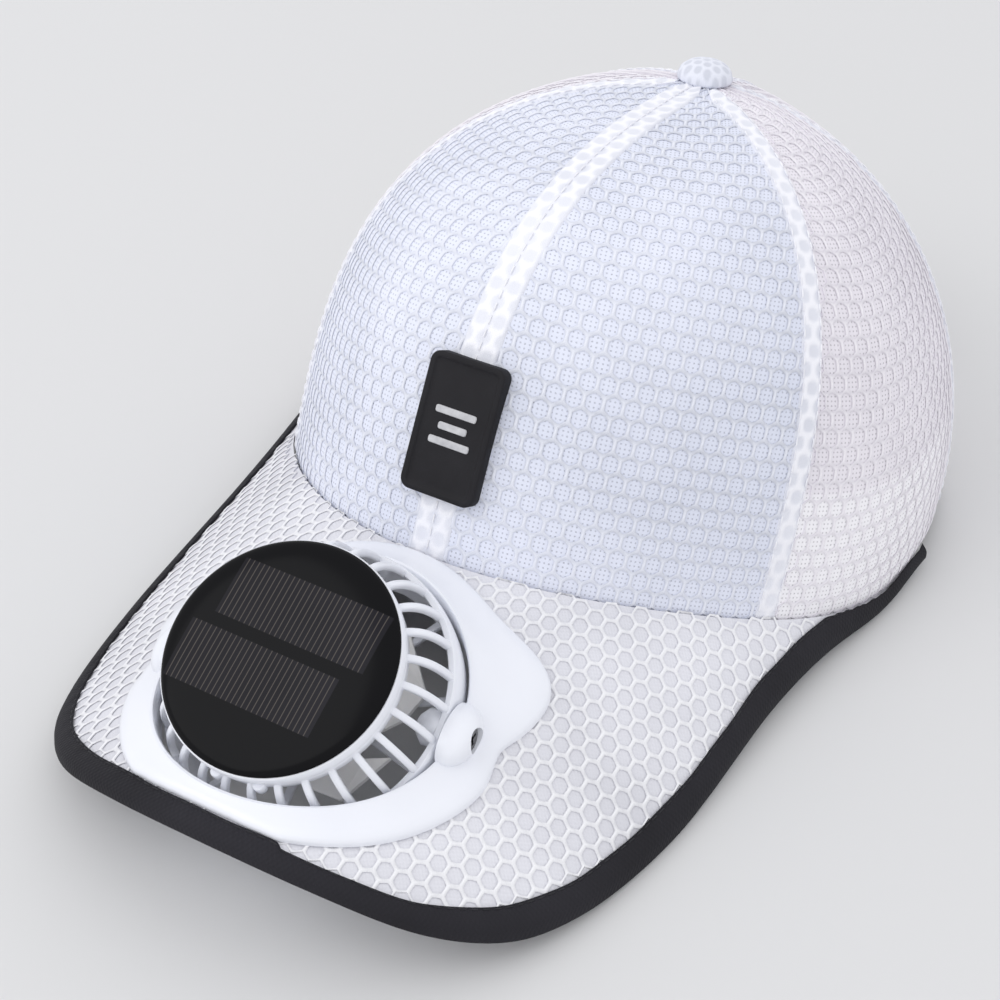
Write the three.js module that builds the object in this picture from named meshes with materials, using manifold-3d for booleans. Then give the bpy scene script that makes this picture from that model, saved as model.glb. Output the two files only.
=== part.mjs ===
// A six-panel mesh cap with a curved brim and a solar-powered fan let into the brim.
// Lengths are in millimetres and angles in degrees. The wearer looks along -Y, +X is the wearer's
// left and +Z is up. The cap stands as it rests on a table, on its brim corners and its back hem.

import * as THREE from 'three';
import { mergeVertices } from 'three/addons/utils/BufferGeometryUtils.js';
import Module from 'manifold-3d';

const wasm = await Module();
wasm.setup();

// Fit between neighbouring pieces
const gap = 0.3;
const seam_gap = 0.4;
const lining_gap = 0.8;

// Crown
const head_half_width = 82.3;
const head_half_length = 98;
const crown_height = 83;
const crown_set_back = 22.8;
const oval_pinch = 0.05;
const cloth = 1.2;
const brim_gap = 0.55;
const front_seam_angle = 56.5;
const back_seam_angle = 104;
const crown_top_hole = 2.6;
const tape_width = 6.5;
const tape_thickness = 0.8;
const tape_top_gap = 8.4;

// Rise and reach of the crown's outline at its front, side and back
const crown_outlines = {
  front: { rise_power: 3.85, reach_power: 0.295 },
  side: { rise_power: 2.3, reach_power: 0.495 },
  back: { rise_power: 1.64, reach_power: 0.635 },
};

// Button, sweatband and rear opening
const button_radius = 6.8;
const button_height = 4.6;
const sweatband_height = 29;
const sweatband_thickness = 1.6;
const back_hem_height = -0.8;
const arch_half_width = 46;
const arch_height = 48;
const arch_binding_width = 7;
const arch_binding_thickness = 0.8;
const strap_height = 20;
const strap_thickness = 1.8;

// Brim
const brim_length = 81;
const brim_thickness = 1.8;
const brim_lift = 5.5;
const brim_droop = 16.3;
const brim_arch = 44;
const ear_angle = 91;
const ear_width = 2.6;
const ear_thickness = 0.8;
const ear_taper = 38;
const binding_width = 4;
const binding_gap = 0.3;
const binding_thickness = 0.5;

// Half outline of the brim from its front centre to the ear, as shares of the head's half width
// and of the way from the ears to the brim's front
const brim_outline = [
  { across: 0, forward: 1 },
  { across: 0.27, forward: 0.985 },
  { across: 0.517, forward: 0.94 },
  { across: 0.68, forward: 0.87 },
  { across: 0.777, forward: 0.78 },
  { across: 0.86, forward: 0.613 },
  { across: 0.9, forward: 0.358 },
  { across: 0.937, forward: 0.237 },
  { across: 0.996, forward: 0.115 },
];

// Patch on the centre-front seam
const patch_width = 18.2;
const patch_height = 31;
const patch_corner = 2.4;
const patch_thickness = 1.3;
const patch_rim_width = 1.5;
const patch_rim_height = 0.5;
const patch_rise = 13.3;
const patch_gap = 0.8;
const patch_bar_height = 1.6;
const patch_bar_relief = 0.35;
const patch_bar_widths = [10, 7, 10];
const patch_bar_pitch = 3.4;

// Fan frame in the brim
const unit_forward = 39.8;
const unit_side = -1.9;
const unit_turn = 5;
const unit_roll = -2.7;
const frame_twist = 4;
const bore_radius = 32.6;
const frame_half_width = 42.3;
const frame_front = 39.3;
const frame_back = 41.3;
const ear_bump = 7;
const ear_bump_angle = 26;
const ear_bump_spread = 14;
const flange_edge = 1.1;
const flange_thickness = 2.2;
const flange_rise_front = 0.8;
const flange_rise_back = 3.4;
const collar_wall = 1.8;
const tape_room = 12;
const lower_lip = 4.5;
const lower_lip_thickness = 1.8;
const pivot_depth = 3;
const boss_radius = 4.4;
const screw_seat = 2.4;
const boss_length = 5;

// Fan head
const head_tilt = 22;
const band_clearance = 0.7;
const band_wall = 1.6;
const band_top = 3.9;
const band_bottom = 9;
const rib_count = 28;
const rib_width = 1.6;
const rib_depth = 1.7;
const collar_radius = 25.2;
const cup_wall = 1.6;
const cup_bottom = 14.6;
const rim_radius = 26.1;
const rim_bottom = 18;
const rim_top = 21.2;
const rim_wall = 1;
const disc_thickness = 2.6;
const disc_edge = 1;
const knuckle_radius = 4;
const knuckle_length = 6.8;
const knuckle_clearance = 0.7;
const tab_radius = 1.4;
const tab_spacing = 22;
const guard_rib_count = 10;
const guard_radius = 9;
const guard_depth = 1.4;

// Pivot screws
const screw_radius = 1.4;
const screw_head_radius = 2.6;
const screw_head_height = 1.4;
const screw_length = 8.5;
const screw_slot = 0.7;

// Motor and impeller
const motor_radius = 7.5;
const motor_length = 11;
const shaft_radius = 1;
const hub_radius = 9.6;
const hub_height = 8.5;
const hub_wall = 1.2;
const hub_top = 2.6;
const blade_count = 5;
const blade_tip_radius = 23.6;
const blade_pitch = 32;
const blade_sweep = 34;
const blade_thickness = 1.2;

// Facets
const panel_columns = 8;
const panel_rows = 10;
const arch_steps = 8;
const brim_stations = 48;
const brim_rows = 5;
const unit_stations = 36;
const round_sides = 24;
const rib_steps = 3;

const net_white = { color: 0xe9ebf6, roughness: 0.8, metalness: 0 };
const cloth_white = { color: 0xf1f1f3, roughness: 0.85, metalness: 0 };
const tape_black = { color: 0x35343b, roughness: 0.75, metalness: 0 };
const rubber_black = { color: 0x343439, roughness: 0.5, metalness: 0 };
const plastic_white = { color: 0xf3f5fb, roughness: 0.4, metalness: 0 };
const plastic_grey = { color: 0xc9c6c2, roughness: 0.45, metalness: 0 };
const cell_black = { color: 0x202026, roughness: 0.15, metalness: 0 };
const steel = { color: 0x8d8f94, roughness: 0.35, metalness: 1 };

const radians = THREE.MathUtils.degToRad;
const lerp = THREE.MathUtils.lerp;

function shares(count) {
  return Array.from({ length: count + 1 }, (_, i) => i / count);
}

// Closed bodies and booleans

function piece(name, geometry, colours) {
  const mesh = new THREE.Mesh(geometry, new THREE.MeshStandardMaterial(colours));
  mesh.name = name;
  return mesh;
}

function solidFrom(geometry) {
  const bare = geometry.clone();
  for (const name of Object.keys(bare.attributes)) {
    if (name !== 'position') {
      bare.deleteAttribute(name);
    }
  }
  const merged = mergeVertices(bare, 1e-4);
  const vertProperties = new Float32Array(merged.attributes.position.array);
  const triVerts = new Uint32Array(merged.index.array);
  return new wasm.Manifold(new wasm.Mesh({ numProp: 3, vertProperties, triVerts }));
}

function geometryFrom(solid) {
  const mesh = solid.getMesh();
  const geometry = new THREE.BufferGeometry();
  geometry.setAttribute('position', new THREE.BufferAttribute(new Float32Array(mesh.vertProperties), 3));
  geometry.setIndex(new THREE.BufferAttribute(new Uint32Array(mesh.triVerts), 1));
  return geometry;
}

function joined(geometries) {
  let whole = solidFrom(geometries[0]);
  for (const geometry of geometries.slice(1)) {
    whole = whole.add(solidFrom(geometry));
  }
  return geometryFrom(whole);
}

function without(geometry, cutters) {
  let rest = solidFrom(geometry);
  for (const cutter of cutters) {
    rest = rest.subtract(solidFrom(cutter));
  }
  return geometryFrom(rest);
}

function moved(geometry, x, y, z) {
  return geometry.translate(x, y, z);
}

// A body between rows of closed section loops. Open rows get an end cap at both ends.
function sweep(loops, closedPath) {
  const count = loops[0].length;
  const positions = [];
  const indices = [];
  for (const loop of loops) {
    for (const point of loop) {
      positions.push(point.x, point.y, point.z);
    }
  }
  const last = closedPath ? loops.length : loops.length - 1;
  for (let row = 0; row < last; row += 1) {
    const next = (row + 1) % loops.length;
    for (let i = 0; i < count; i += 1) {
      const j = (i + 1) % count;
      indices.push(row * count + i, row * count + j, next * count + j);
      indices.push(row * count + i, next * count + j, next * count + i);
    }
  }
  if (!closedPath) {
    for (const [row, flip] of [[0, true], [loops.length - 1, false]]) {
      for (const [a, b, c] of capTriangles(loops[row])) {
        const corners = [row * count + a, row * count + b, row * count + c];
        indices.push(...(flip ? corners.reverse() : corners));
      }
    }
  }
  return outward(positions, indices);
}

// Triangles of a flat or nearly flat loop, in the loop's own order
function capTriangles(loop) {
  const centre = new THREE.Vector3();
  loop.forEach((point) => centre.addScaledVector(point, 1 / loop.length));
  const normal = new THREE.Vector3();
  loop.forEach((point, i) => {
    const next = loop[(i + 1) % loop.length];
    normal.add(point.clone().sub(centre).cross(next.clone().sub(centre)));
  });
  normal.normalize();
  const along = loop[0].clone().sub(loop[1]).normalize();
  const across = new THREE.Vector3().crossVectors(normal, along);
  const flat = loop.map((point) => {
    const from = point.clone().sub(centre);
    return new THREE.Vector2(from.dot(along), from.dot(across));
  });
  return THREE.ShapeUtils.triangulateShape(flat, []);
}

// Turns every face out where the loops ran the other way round
function outward(positions, indices) {
  const corner = (i) => new THREE.Vector3().fromArray(positions, i * 3);
  let volume = 0;
  for (let i = 0; i < indices.length; i += 3) {
    const [a, b, c] = [corner(indices[i]), corner(indices[i + 1]), corner(indices[i + 2])];
    volume += a.dot(b.cross(c));
  }
  if (volume < 0) {
    for (let i = 0; i < indices.length; i += 3) {
      [indices[i + 1], indices[i + 2]] = [indices[i + 2], indices[i + 1]];
    }
  }
  const geometry = new THREE.BufferGeometry();
  geometry.setAttribute('position', new THREE.Float32BufferAttribute(positions, 3));
  geometry.setIndex(indices);
  return geometry;
}

// A plate between two grids of points with the same rows and columns
function plate(outer, inner) {
  const rows = outer.length;
  const columns = outer[0].length;
  const positions = [];
  const indices = [];
  const outerAt = (i, j) => i * columns + j;
  const innerAt = (i, j) => rows * columns + i * columns + j;
  for (const grid of [outer, inner]) {
    grid.flat().forEach((point) => positions.push(point.x, point.y, point.z));
  }
  const quad = (a, b, c, d) => indices.push(a, b, c, a, c, d);
  for (let i = 0; i < rows - 1; i += 1) {
    for (let j = 0; j < columns - 1; j += 1) {
      quad(outerAt(i, j), outerAt(i, j + 1), outerAt(i + 1, j + 1), outerAt(i + 1, j));
      quad(innerAt(i, j), innerAt(i + 1, j), innerAt(i + 1, j + 1), innerAt(i, j + 1));
    }
    quad(outerAt(i, 0), outerAt(i + 1, 0), innerAt(i + 1, 0), innerAt(i, 0));
    const j = columns - 1;
    quad(outerAt(i + 1, j), outerAt(i, j), innerAt(i, j), innerAt(i + 1, j));
  }
  for (let j = 0; j < columns - 1; j += 1) {
    quad(outerAt(0, j + 1), outerAt(0, j), innerAt(0, j), innerAt(0, j + 1));
    const i = rows - 1;
    quad(outerAt(i, j), outerAt(i, j + 1), innerAt(i, j + 1), innerAt(i, j));
  }
  return outward(positions, indices);
}

// A turned body about the Z axis from radius and height pairs that close on themselves or on the axis
function turned(profile, sides = round_sides) {
  const points = profile.map(([radius, height]) => new THREE.Vector2(radius, height));
  if (profile[0][0] > 0) {
    points.push(points[0].clone());
  }
  const geometry = new THREE.LatheGeometry(points, sides);
  geometry.rotateX(Math.PI / 2);
  const merged = mergeVertices(bareCopy(geometry), 1e-4);
  return outward([...merged.attributes.position.array], trueTriangles(merged));
}

function bareCopy(geometry) {
  const bare = geometry.clone();
  bare.deleteAttribute('normal');
  bare.deleteAttribute('uv');
  return bare;
}

function trueTriangles(geometry) {
  const kept = [];
  const index = geometry.index.array;
  for (let i = 0; i < index.length; i += 3) {
    const [a, b, c] = [index[i], index[i + 1], index[i + 2]];
    if (a !== b && b !== c && c !== a) {
      kept.push(a, b, c);
    }
  }
  return kept;
}

// A round bar along X, centred at the origin
function barAlongX(radius, length, sides = 20) {
  return turned([[0, -length / 2], [radius, -length / 2], [radius, length / 2], [0, length / 2]], sides)
    .rotateY(Math.PI / 2);
}

// The brim's upper surface

const brimBack = -head_half_length;

function brimTop(x, y) {
  const forward = brimBack - y;
  const bow = (x / head_half_width) ** 2;
  return brim_lift - Math.tan(radians(brim_droop)) * forward - brim_arch * bow;
}

function brimNormal(x, y) {
  const slopeX = (-2 * brim_arch * x) / head_half_width ** 2;
  const slopeY = Math.tan(radians(brim_droop));
  return new THREE.Vector3(-slopeX, -slopeY, 1).normalize();
}

// The point straight over or under a plan point, the offset measured square to the surface
function brimPoint(x, y, offset) {
  return new THREE.Vector3(x, y, brimTop(x, y) + offset / brimNormal(x, y).z);
}

// The crown's surface. Azimuth 0 is the front, 90 the wearer's left, 180 the back.

function ovalPoint(azimuth, reach) {
  const turn = radians(azimuth);
  const pinch = 1 - oval_pinch * Math.sin(2 * turn) ** 2;
  const x = head_half_width * Math.sin(turn) * reach * pinch;
  const y = -head_half_length * Math.cos(turn) * reach * pinch;
  return new THREE.Vector2(x, y);
}

function hemHeight(azimuth) {
  const side = azimuth > 180 ? 360 - azimuth : Math.abs(azimuth);
  const at = ovalPoint(Math.min(side, ear_angle), 1);
  const front = brimTop(at.x, at.y);
  if (side <= ear_angle) {
    return front;
  }
  const back = THREE.MathUtils.smoothstep(side, ear_angle, 180);
  return lerp(front, back_hem_height, back);
}

function blended(key, azimuth) {
  const { front, side, back } = crown_outlines;
  const along = Math.cos(radians(azimuth));
  const even = (front[key] + back[key]) / 2 - side[key];
  return side[key] + ((front[key] - back[key]) / 2) * along + even * along ** 2;
}

function crownAt(azimuth, rise) {
  const reach = (1 - rise ** blended('rise_power', azimuth)) ** blended('reach_power', azimuth);
  const oval = ovalPoint(azimuth, reach);
  const hem = hemHeight(azimuth);
  return new THREE.Vector3(oval.x, oval.y + crown_set_back * rise, lerp(hem, crown_height, rise));
}

// Rises from the hem to the top hole at even steps along the cloth
const meridians = new Map();

function meridian(azimuth) {
  const key = azimuth.toFixed(4);
  if (!meridians.has(key)) {
    meridians.set(key, measuredMeridian(azimuth));
  }
  return meridians.get(key);
}

function measuredMeridian(azimuth) {
  const steps = 240;
  const apex = new THREE.Vector3(0, crown_set_back, crown_height);
  const rises = [0];
  const lengths = [0];
  let before = crownAt(azimuth, 0);
  for (let i = 1; i <= steps; i += 1) {
    const rise = 1 - (1 - i / (steps + 1)) ** 4;
    const point = crownAt(azimuth, rise);
    if (Math.hypot(point.x - apex.x, point.y - apex.y) < crown_top_hole) {
      break;
    }
    lengths.push(lengths[lengths.length - 1] + point.distanceTo(before));
    rises.push(rise);
    before = point;
  }
  return { rises, lengths };
}

function riseAtLength(azimuth, length) {
  const { rises, lengths } = meridian(azimuth);
  if (length >= lengths[lengths.length - 1]) {
    return rises[rises.length - 1];
  }
  let i = 1;
  while (lengths[i] < length) {
    i += 1;
  }
  const share = (length - lengths[i - 1]) / (lengths[i] - lengths[i - 1]);
  return lerp(rises[i - 1], rises[i], share);
}

function clothLength(azimuth) {
  const { lengths } = meridian(azimuth);
  return lengths[lengths.length - 1];
}

// A point at a length up the cloth from the hem, offset outward. Below the hem the cloth hangs straight.
function crownPoint(azimuth, length, offset) {
  const reach = 0.4;
  const low = Math.max(length - reach, 0);
  const high = Math.min(Math.max(length, 0) + reach, clothLength(azimuth));
  const up = crownAt(azimuth, riseAtLength(azimuth, high)).sub(crownAt(azimuth, riseAtLength(azimuth, low)));
  const rise = riseAtLength(azimuth, Math.max(length, 0));
  const around = crownAt(azimuth + 0.3, rise).sub(crownAt(azimuth - 0.3, rise));
  const normal = around.cross(up).normalize();
  const point = crownAt(azimuth, rise).addScaledVector(normal, offset);
  point.z += Math.min(length, 0);
  return point;
}

// Azimuth that lies a distance beside another one, measured square to the seam
function azimuthBeside(azimuth, length, distance) {
  const here = crownPoint(azimuth, length, 0);
  const above = crownPoint(azimuth, length + 1, 0).sub(here).normalize();
  const near = crownPoint(azimuth + 0.5, length, 0).sub(here);
  near.addScaledVector(above, -near.dot(above));
  return azimuth + (0.5 * distance) / near.length();
}

// Crown panels

function widthAngle(across) {
  return 180 - THREE.MathUtils.radToDeg(Math.asin(across / head_half_width));
}

// Height of the rear arch's edge over the hem, for a ring that lies outside the edge by the margin
function archLength(azimuth, margin = 0) {
  const beside = head_half_width * Math.sin(radians(azimuth));
  const half = arch_half_width + margin;
  const inside = azimuth > 90 && beside < half;
  return inside ? (arch_height + margin) * Math.sqrt(1 - (beside / half) ** 2) : 0;
}

// How far the cloth runs on below the crown's edge, down behind the brim
function tuck(azimuth) {
  return 0.2 + brim_thickness * (1 - THREE.MathUtils.smoothstep(azimuth, ear_angle - 12, ear_angle + 2));
}

// Lengths up the cloth of a panel's rows at one azimuth
function rowLengths(azimuth) {
  const edge = archLength(azimuth);
  return [edge - tuck(azimuth), ...shares(panel_rows).map((up) => lerp(edge, clothLength(azimuth), up))];
}

const archFoot = widthAngle(arch_half_width);
const archColumns = shares(arch_steps).map((share) => {
  return widthAngle(arch_half_width * Math.cos((share * Math.PI) / 2));
});

function evenColumns(from, to, count) {
  return shares(count).map((share) => lerp(from, to, share));
}

const leftPanels = [
  { name: 'front', columns: evenColumns(0, front_seam_angle, panel_columns) },
  { name: 'side', columns: evenColumns(front_seam_angle, back_seam_angle, panel_columns) },
  { name: 'back', columns: [...evenColumns(back_seam_angle, archFoot, 5).slice(0, -1), ...archColumns] },
];

// Rows of panel points from the edge up, the first and last column set in by half a seam gap
function panelGrid(columns, offset) {
  return shares(panel_rows + 1).map((share, row) => columns.map((plain, i) => {
    const length = rowLengths(plain)[row];
    const inset = i === 0 ? seam_gap / 2 : i === columns.length - 1 ? -seam_gap / 2 : 0;
    const azimuth = azimuthBeside(plain, THREE.MathUtils.clamp(length, 1, clothLength(plain) - 2), inset);
    return crownPoint(azimuth, length, offset);
  }));
}

function bothSides(name, geometry, colours) {
  return [
    piece(`${name}_left`, geometry, colours),
    piece(`${name}_right`, mirrored(geometry), colours),
  ];
}

function mirrored(geometry) {
  const place = geometry.attributes.position;
  const positions = Array.from(place.array, (value, i) => (i % 3 === 0 ? -value : value));
  return outward(positions, [...geometry.index.array]);
}

function crownPanels() {
  return leftPanels.flatMap(({ name, columns }) => {
    const geometry = plate(panelGrid(columns, 0), panelGrid(columns, -cloth));
    return bothSides(`panel_${name}`, geometry, net_white);
  });
}

// Tapes inside the seams, from above the sweatband to just short of the top
function seamTape(azimuth) {
  const lowest = Math.max(sweatband_height, archLength(azimuth, arch_binding_width)) + 2 * gap;
  const highest = clothLength(azimuth) - tape_top_gap;
  const levels = [lowest, ...rowLengths(azimuth).filter((row) => row > lowest + 1 && row < highest - 1), highest];
  const layer = (offset) => levels.map((level) => {
    return [-0.5, 0, 0.5].map((side) => {
      return crownPoint(azimuthBeside(azimuth, level, side * tape_width), level, offset);
    });
  });
  return plate(layer(-cloth - lining_gap), layer(-cloth - lining_gap - tape_thickness));
}

function seamTapes() {
  return [
    piece('seam_tape_front', seamTape(0), cloth_white),
    ...bothSides('seam_tape_side', seamTape(front_seam_angle), cloth_white),
    ...bothSides('seam_tape_back', seamTape(back_seam_angle), cloth_white),
    piece('seam_tape_rear', seamTape(180), cloth_white),
  ];
}

// Covered button on the apex
function topButton() {
  const foot = gap + 0.2;
  const dome = shares(5).map((share) => {
    const turn = (share * Math.PI) / 2;
    return [button_radius * Math.cos(turn), foot + 1 + (button_height - 1) * Math.sin(turn)];
  });
  dome[dome.length - 1][0] = 0;
  const geometry = turned([[0, foot], [button_radius - 0.6, foot], ...dome], 20);
  const button = piece('top_button', geometry, net_white);
  button.position.set(0, crown_set_back, crown_height);
  return button;
}

// A band inside the crown over a run of azimuths, with its lower and upper edge above the hem
function bandPlate(columns, low, high, offset, thickness) {
  const layer = (depth) => columns.map((azimuth) => {
    return [low, (low + high) / 2, high].map((level) => crownPoint(azimuth, level, depth));
  });
  return plate(layer(offset), layer(offset - thickness));
}

// Sweatband inside the opening, ending beside the rear arch
function sweatband() {
  const end = widthAngle(arch_half_width + arch_binding_width + 2 * gap);
  const columns = evenColumns(-end, end, 44);
  const geometry = bandPlate(columns, 0.2, sweatband_height, -cloth - lining_gap, sweatband_thickness);
  return piece('sweatband', geometry, cloth_white);
}

// Tape round the inside of the rear arch
function archBinding() {
  const layer = (offset) => shares(2 * arch_steps).map((share) => {
    const turn = share * Math.PI;
    return [0, arch_binding_width].map((out) => {
      const azimuth = widthAngle((arch_half_width + out) * Math.cos(turn));
      return crownPoint(azimuth, (arch_height + out) * Math.sin(turn), offset);
    });
  });
  const outside = -cloth - lining_gap - gap;
  return piece('rear_arch_binding', plate(layer(outside), layer(outside - arch_binding_thickness)), cloth_white);
}

// Strap across the bottom of the rear arch
function adjusterStrap() {
  const offset = -cloth - lining_gap - arch_binding_thickness - 3 * gap;
  const end = widthAngle(arch_half_width + arch_binding_width - 2);
  const geometry = bandPlate(evenColumns(end, 360 - end, 16), 0.4, strap_height, offset, strap_thickness);
  return piece('adjuster_strap', geometry, cloth_white);
}

// Brim outline, brim and its binding

const brimReach = head_half_length + brim_length;

function earPoint() {
  const ear = ovalPoint(ear_angle, 1);
  return new THREE.Vector3(ear.x + ear_width, ear.y, 0);
}

const outlineCurve = (() => {
  const half = brim_outline.map((row) => {
    return new THREE.Vector3(row.across * head_half_width, -row.forward * brimReach, 0);
  });
  const right = [...half, earPoint()];
  const left = right.slice(1).reverse().map((point) => new THREE.Vector3(-point.x, point.y, 0));
  return new THREE.CatmullRomCurve3([...left, ...right], false, 'centripetal');
})();

// The brim thins out towards its ears
function brimThickness(y) {
  return lerp(ear_thickness, brim_thickness, THREE.MathUtils.clamp(-y / ear_taper, 0, 1));
}

// Distance from a plan point along a direction to the crown's oval
function distanceToSeat(point, direction) {
  const step = 0.25;
  const plan = point.clone();
  let distance = 0;
  while (distance < head_half_length && !insideOval(plan)) {
    plan.addScaledVector(direction, step);
    distance += step;
  }
  return distance;
}

function insideOval(plan) {
  const azimuth = THREE.MathUtils.radToDeg(
    Math.atan2(plan.x / head_half_width, -plan.y / head_half_length),
  );
  return plan.length() < ovalPoint(azimuth, 1).length() + brim_gap;
}

// The brim at a share of the way from the right ear to the left ear
function brimStation(along) {
  const seat = ovalPoint(lerp(-ear_angle, ear_angle, along), 1);
  const inner = seat.clone().addScaledVector(seat.clone().normalize(), brim_gap);
  const rim = outlineCurve.getPointAt(along);
  const tangent = outlineCurve.getTangentAt(along);
  const inward = new THREE.Vector2(tangent.y, -tangent.x).normalize();
  if (inward.dot(inner.clone().sub(new THREE.Vector2(rim.x, rim.y))) < 0) {
    inward.negate();
  }
  const tape = binding_gap + binding_thickness;
  const edge = new THREE.Vector2(rim.x, rim.y).addScaledVector(inward, tape);
  const slope = brimTop(edge.x + inward.x, edge.y + inward.y) - brimTop(edge.x, edge.y);
  const room = distanceToSeat(edge, inward) - 2 * gap;
  return { inner, edge, inward, room: Math.max(room, 0.3), stretch: Math.hypot(1, slope) };
}

const brimStations = shares(brim_stations).map(brimStation);

function brim(unit) {
  const layer = (share) => brimStations.map(({ inner, edge }) => {
    return shares(brim_rows).map((along) => {
      const plan = inner.clone().lerp(edge, along);
      return brimPoint(plan.x, plan.y, -share * brimThickness(plan.y));
    });
  });
  const hole = turned([[0, -40], [holeRadius, -40], [holeRadius, 40], [0, 40]], unit_stations);
  hole.applyMatrix4(unit.matrix);
  return piece('brim', without(plate(layer(0), layer(1)), [hole]), cloth_white);
}

// A body along the brim's edge. Its section has distances in from the edge, heights over the brim's
// top and whether a height is taken from the brim's underside instead.
function alongEdge(width, section) {
  const loops = brimStations.map(({ edge, inward, room, stretch }) => {
    const deep = Math.min(width / stretch, room);
    return section(deep).map(([inside, offset, underside]) => {
      const plan = edge.clone().addScaledVector(inward, inside);
      return brimPoint(plan.x, plan.y, underside ? offset - brimThickness(plan.y) : offset);
    });
  });
  return sweep(loops, false);
}

// Tape folded round the brim's edge
function brimBinding() {
  const clear = binding_gap;
  const outside = clear + binding_thickness;
  const geometry = alongEdge(binding_width, (deep) => [
    [deep, clear], [deep, outside], [-clear, outside], [-outside, 0], [-outside, 0, true],
    [-clear, -outside, true], [deep, -outside, true], [deep, -clear, true], [-clear, -clear, true],
    [-clear, clear],
  ]);
  return piece('brim_binding', geometry, tape_black);
}

// Patch with a flat face, a raised rim and three plain bars
function frontPatch() {
  const middle = patch_rise + patch_height / 2;
  const centre = crownPoint(0, middle, 0);
  const up = crownPoint(0, middle + 2, 0).sub(crownPoint(0, middle - 2, 0)).normalize();
  const across = new THREE.Vector3(1, 0, 0);
  const out = new THREE.Vector3().crossVectors(across, up).normalize();
  const outlinePoints = roundedRectangle(patch_width, patch_height, patch_corner);
  const inset = roundedRectangle(
    patch_width - 2 * patch_rim_width,
    patch_height - 2 * patch_rim_width,
    patch_corner - patch_rim_width / 2,
  );
  const face = (point, height) => centre.clone()
    .addScaledVector(across, point.x)
    .addScaledVector(up, point.y)
    .addScaledVector(out, height);
  const top = patch_thickness + patch_gap;
  const backLoop = outlinePoints.map((point) => seatOnCrown(face(point, 0), out));
  const backInset = inset.map((point) => seatOnCrown(face(point, 0), out));
  const backMiddle = inset.map((point) => seatOnCrown(face(point.clone().multiplyScalar(0.4), 0), out));
  const stages = [
    backMiddle,
    backInset,
    backLoop,
    outlinePoints.map((point) => face(point, top + patch_rim_height)),
    inset.map((point) => face(point, top + patch_rim_height)),
    inset.map((point) => face(point, top)),
  ];
  const bars = patch_bar_widths.map((width, i) => {
    const relief = patch_bar_relief + 0.4;
    const bar = new THREE.BoxGeometry(width, patch_bar_height, relief);
    const level = (1 - i) * patch_bar_pitch;
    const place = face(new THREE.Vector2(0, level), top + patch_bar_relief - relief / 2);
    bar.applyMatrix4(new THREE.Matrix4().makeBasis(across, up, out).setPosition(place));
    return bar;
  });
  const geometry = joined([sweep(stages, false), ...bars]);
  return piece('front_patch', geometry, rubber_black);
}

// The point on a line along a direction that stands one gap off the crown's front
function seatOnCrown(point, direction) {
  const start = point.clone();
  for (let i = 0; i < 6; i += 1) {
    const surface = crownNear(start);
    const off = start.clone().sub(surface.point).dot(surface.normal) - patch_gap;
    start.addScaledVector(direction, -off / direction.dot(surface.normal));
  }
  return start;
}

function crownNear(point) {
  const length = lengthAtHeight(point);
  let azimuth = THREE.MathUtils.radToDeg(Math.asin(point.x / head_half_width));
  for (let i = 0; i < 4; i += 1) {
    const there = crownPoint(azimuth, length, 0);
    azimuth += THREE.MathUtils.radToDeg((point.x - there.x) / head_half_width);
  }
  const outside = crownPoint(azimuth, length, 1);
  const surface = crownPoint(azimuth, length, 0);
  return { point: surface, normal: outside.sub(surface) };
}

function lengthAtHeight(point) {
  let length = point.z - hemHeight(0);
  for (let i = 0; i < 6; i += 1) {
    length += point.z - crownPoint(0, length, 0).z;
  }
  return length;
}

function roundedRectangle(width, height, corner) {
  const points = [];
  const [x, y] = [width / 2 - corner, height / 2 - corner];
  const quarters = [[x, y, 0], [-x, y, 90], [-x, -y, 180], [x, -y, 270]];
  for (const [centreX, centreY, start] of quarters) {
    for (const share of shares(3)) {
      const turn = radians(start + share * 90);
      points.push(new THREE.Vector2(centreX + corner * Math.cos(turn), centreY + corner * Math.sin(turn)));
    }
  }
  return points;
}

// Fan unit. In its own frame the pivot axis is X, +Y is the back and Z is the frame's axis.

const holeRadius = bore_radius + collar_wall + gap;

function fanUnit() {
  const unit = new THREE.Group();
  const seatY = brimBack - unit_forward;
  unit.position.copy(brimPoint(unit_side, seatY, -pivot_depth));
  unit.rotation.set(radians(brim_droop), radians(unit_roll), radians(unit_turn), 'XZY');
  unit.updateMatrix();
  return unit;
}

// The point over the brim with the given place in the unit's plane and offset from the brim's surface
function unitPoint(unit, x, y, offset) {
  const inverse = unit.matrix.clone().invert();
  const guess = new THREE.Vector3(x, y, 0).applyMatrix4(unit.matrix);
  let found = new THREE.Vector3();
  for (let i = 0; i < 8; i += 1) {
    found = brimPoint(guess.x, guess.y, offset).applyMatrix4(inverse);
    const miss = new THREE.Vector3(x - found.x, y - found.y, 0).applyMatrix4(
      new THREE.Matrix4().extractRotation(unit.matrix),
    );
    guess.add(miss);
  }
  return found;
}

function frameRadius(turn) {
  const cosine = Math.cos(turn);
  const sine = Math.sin(turn);
  const oval = 1 / Math.hypot(cosine / frame_half_width, sine / (sine > 0 ? frame_back : frame_front));
  const side = THREE.MathUtils.radToDeg(Math.atan2(sine, Math.abs(cosine)));
  const bump = ear_bump * Math.exp(-(((side - ear_bump_angle) / ear_bump_spread) ** 2));
  return oval + (side > 0 ? bump : bump * Math.exp(-((side / 4) ** 2)));
}

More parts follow.
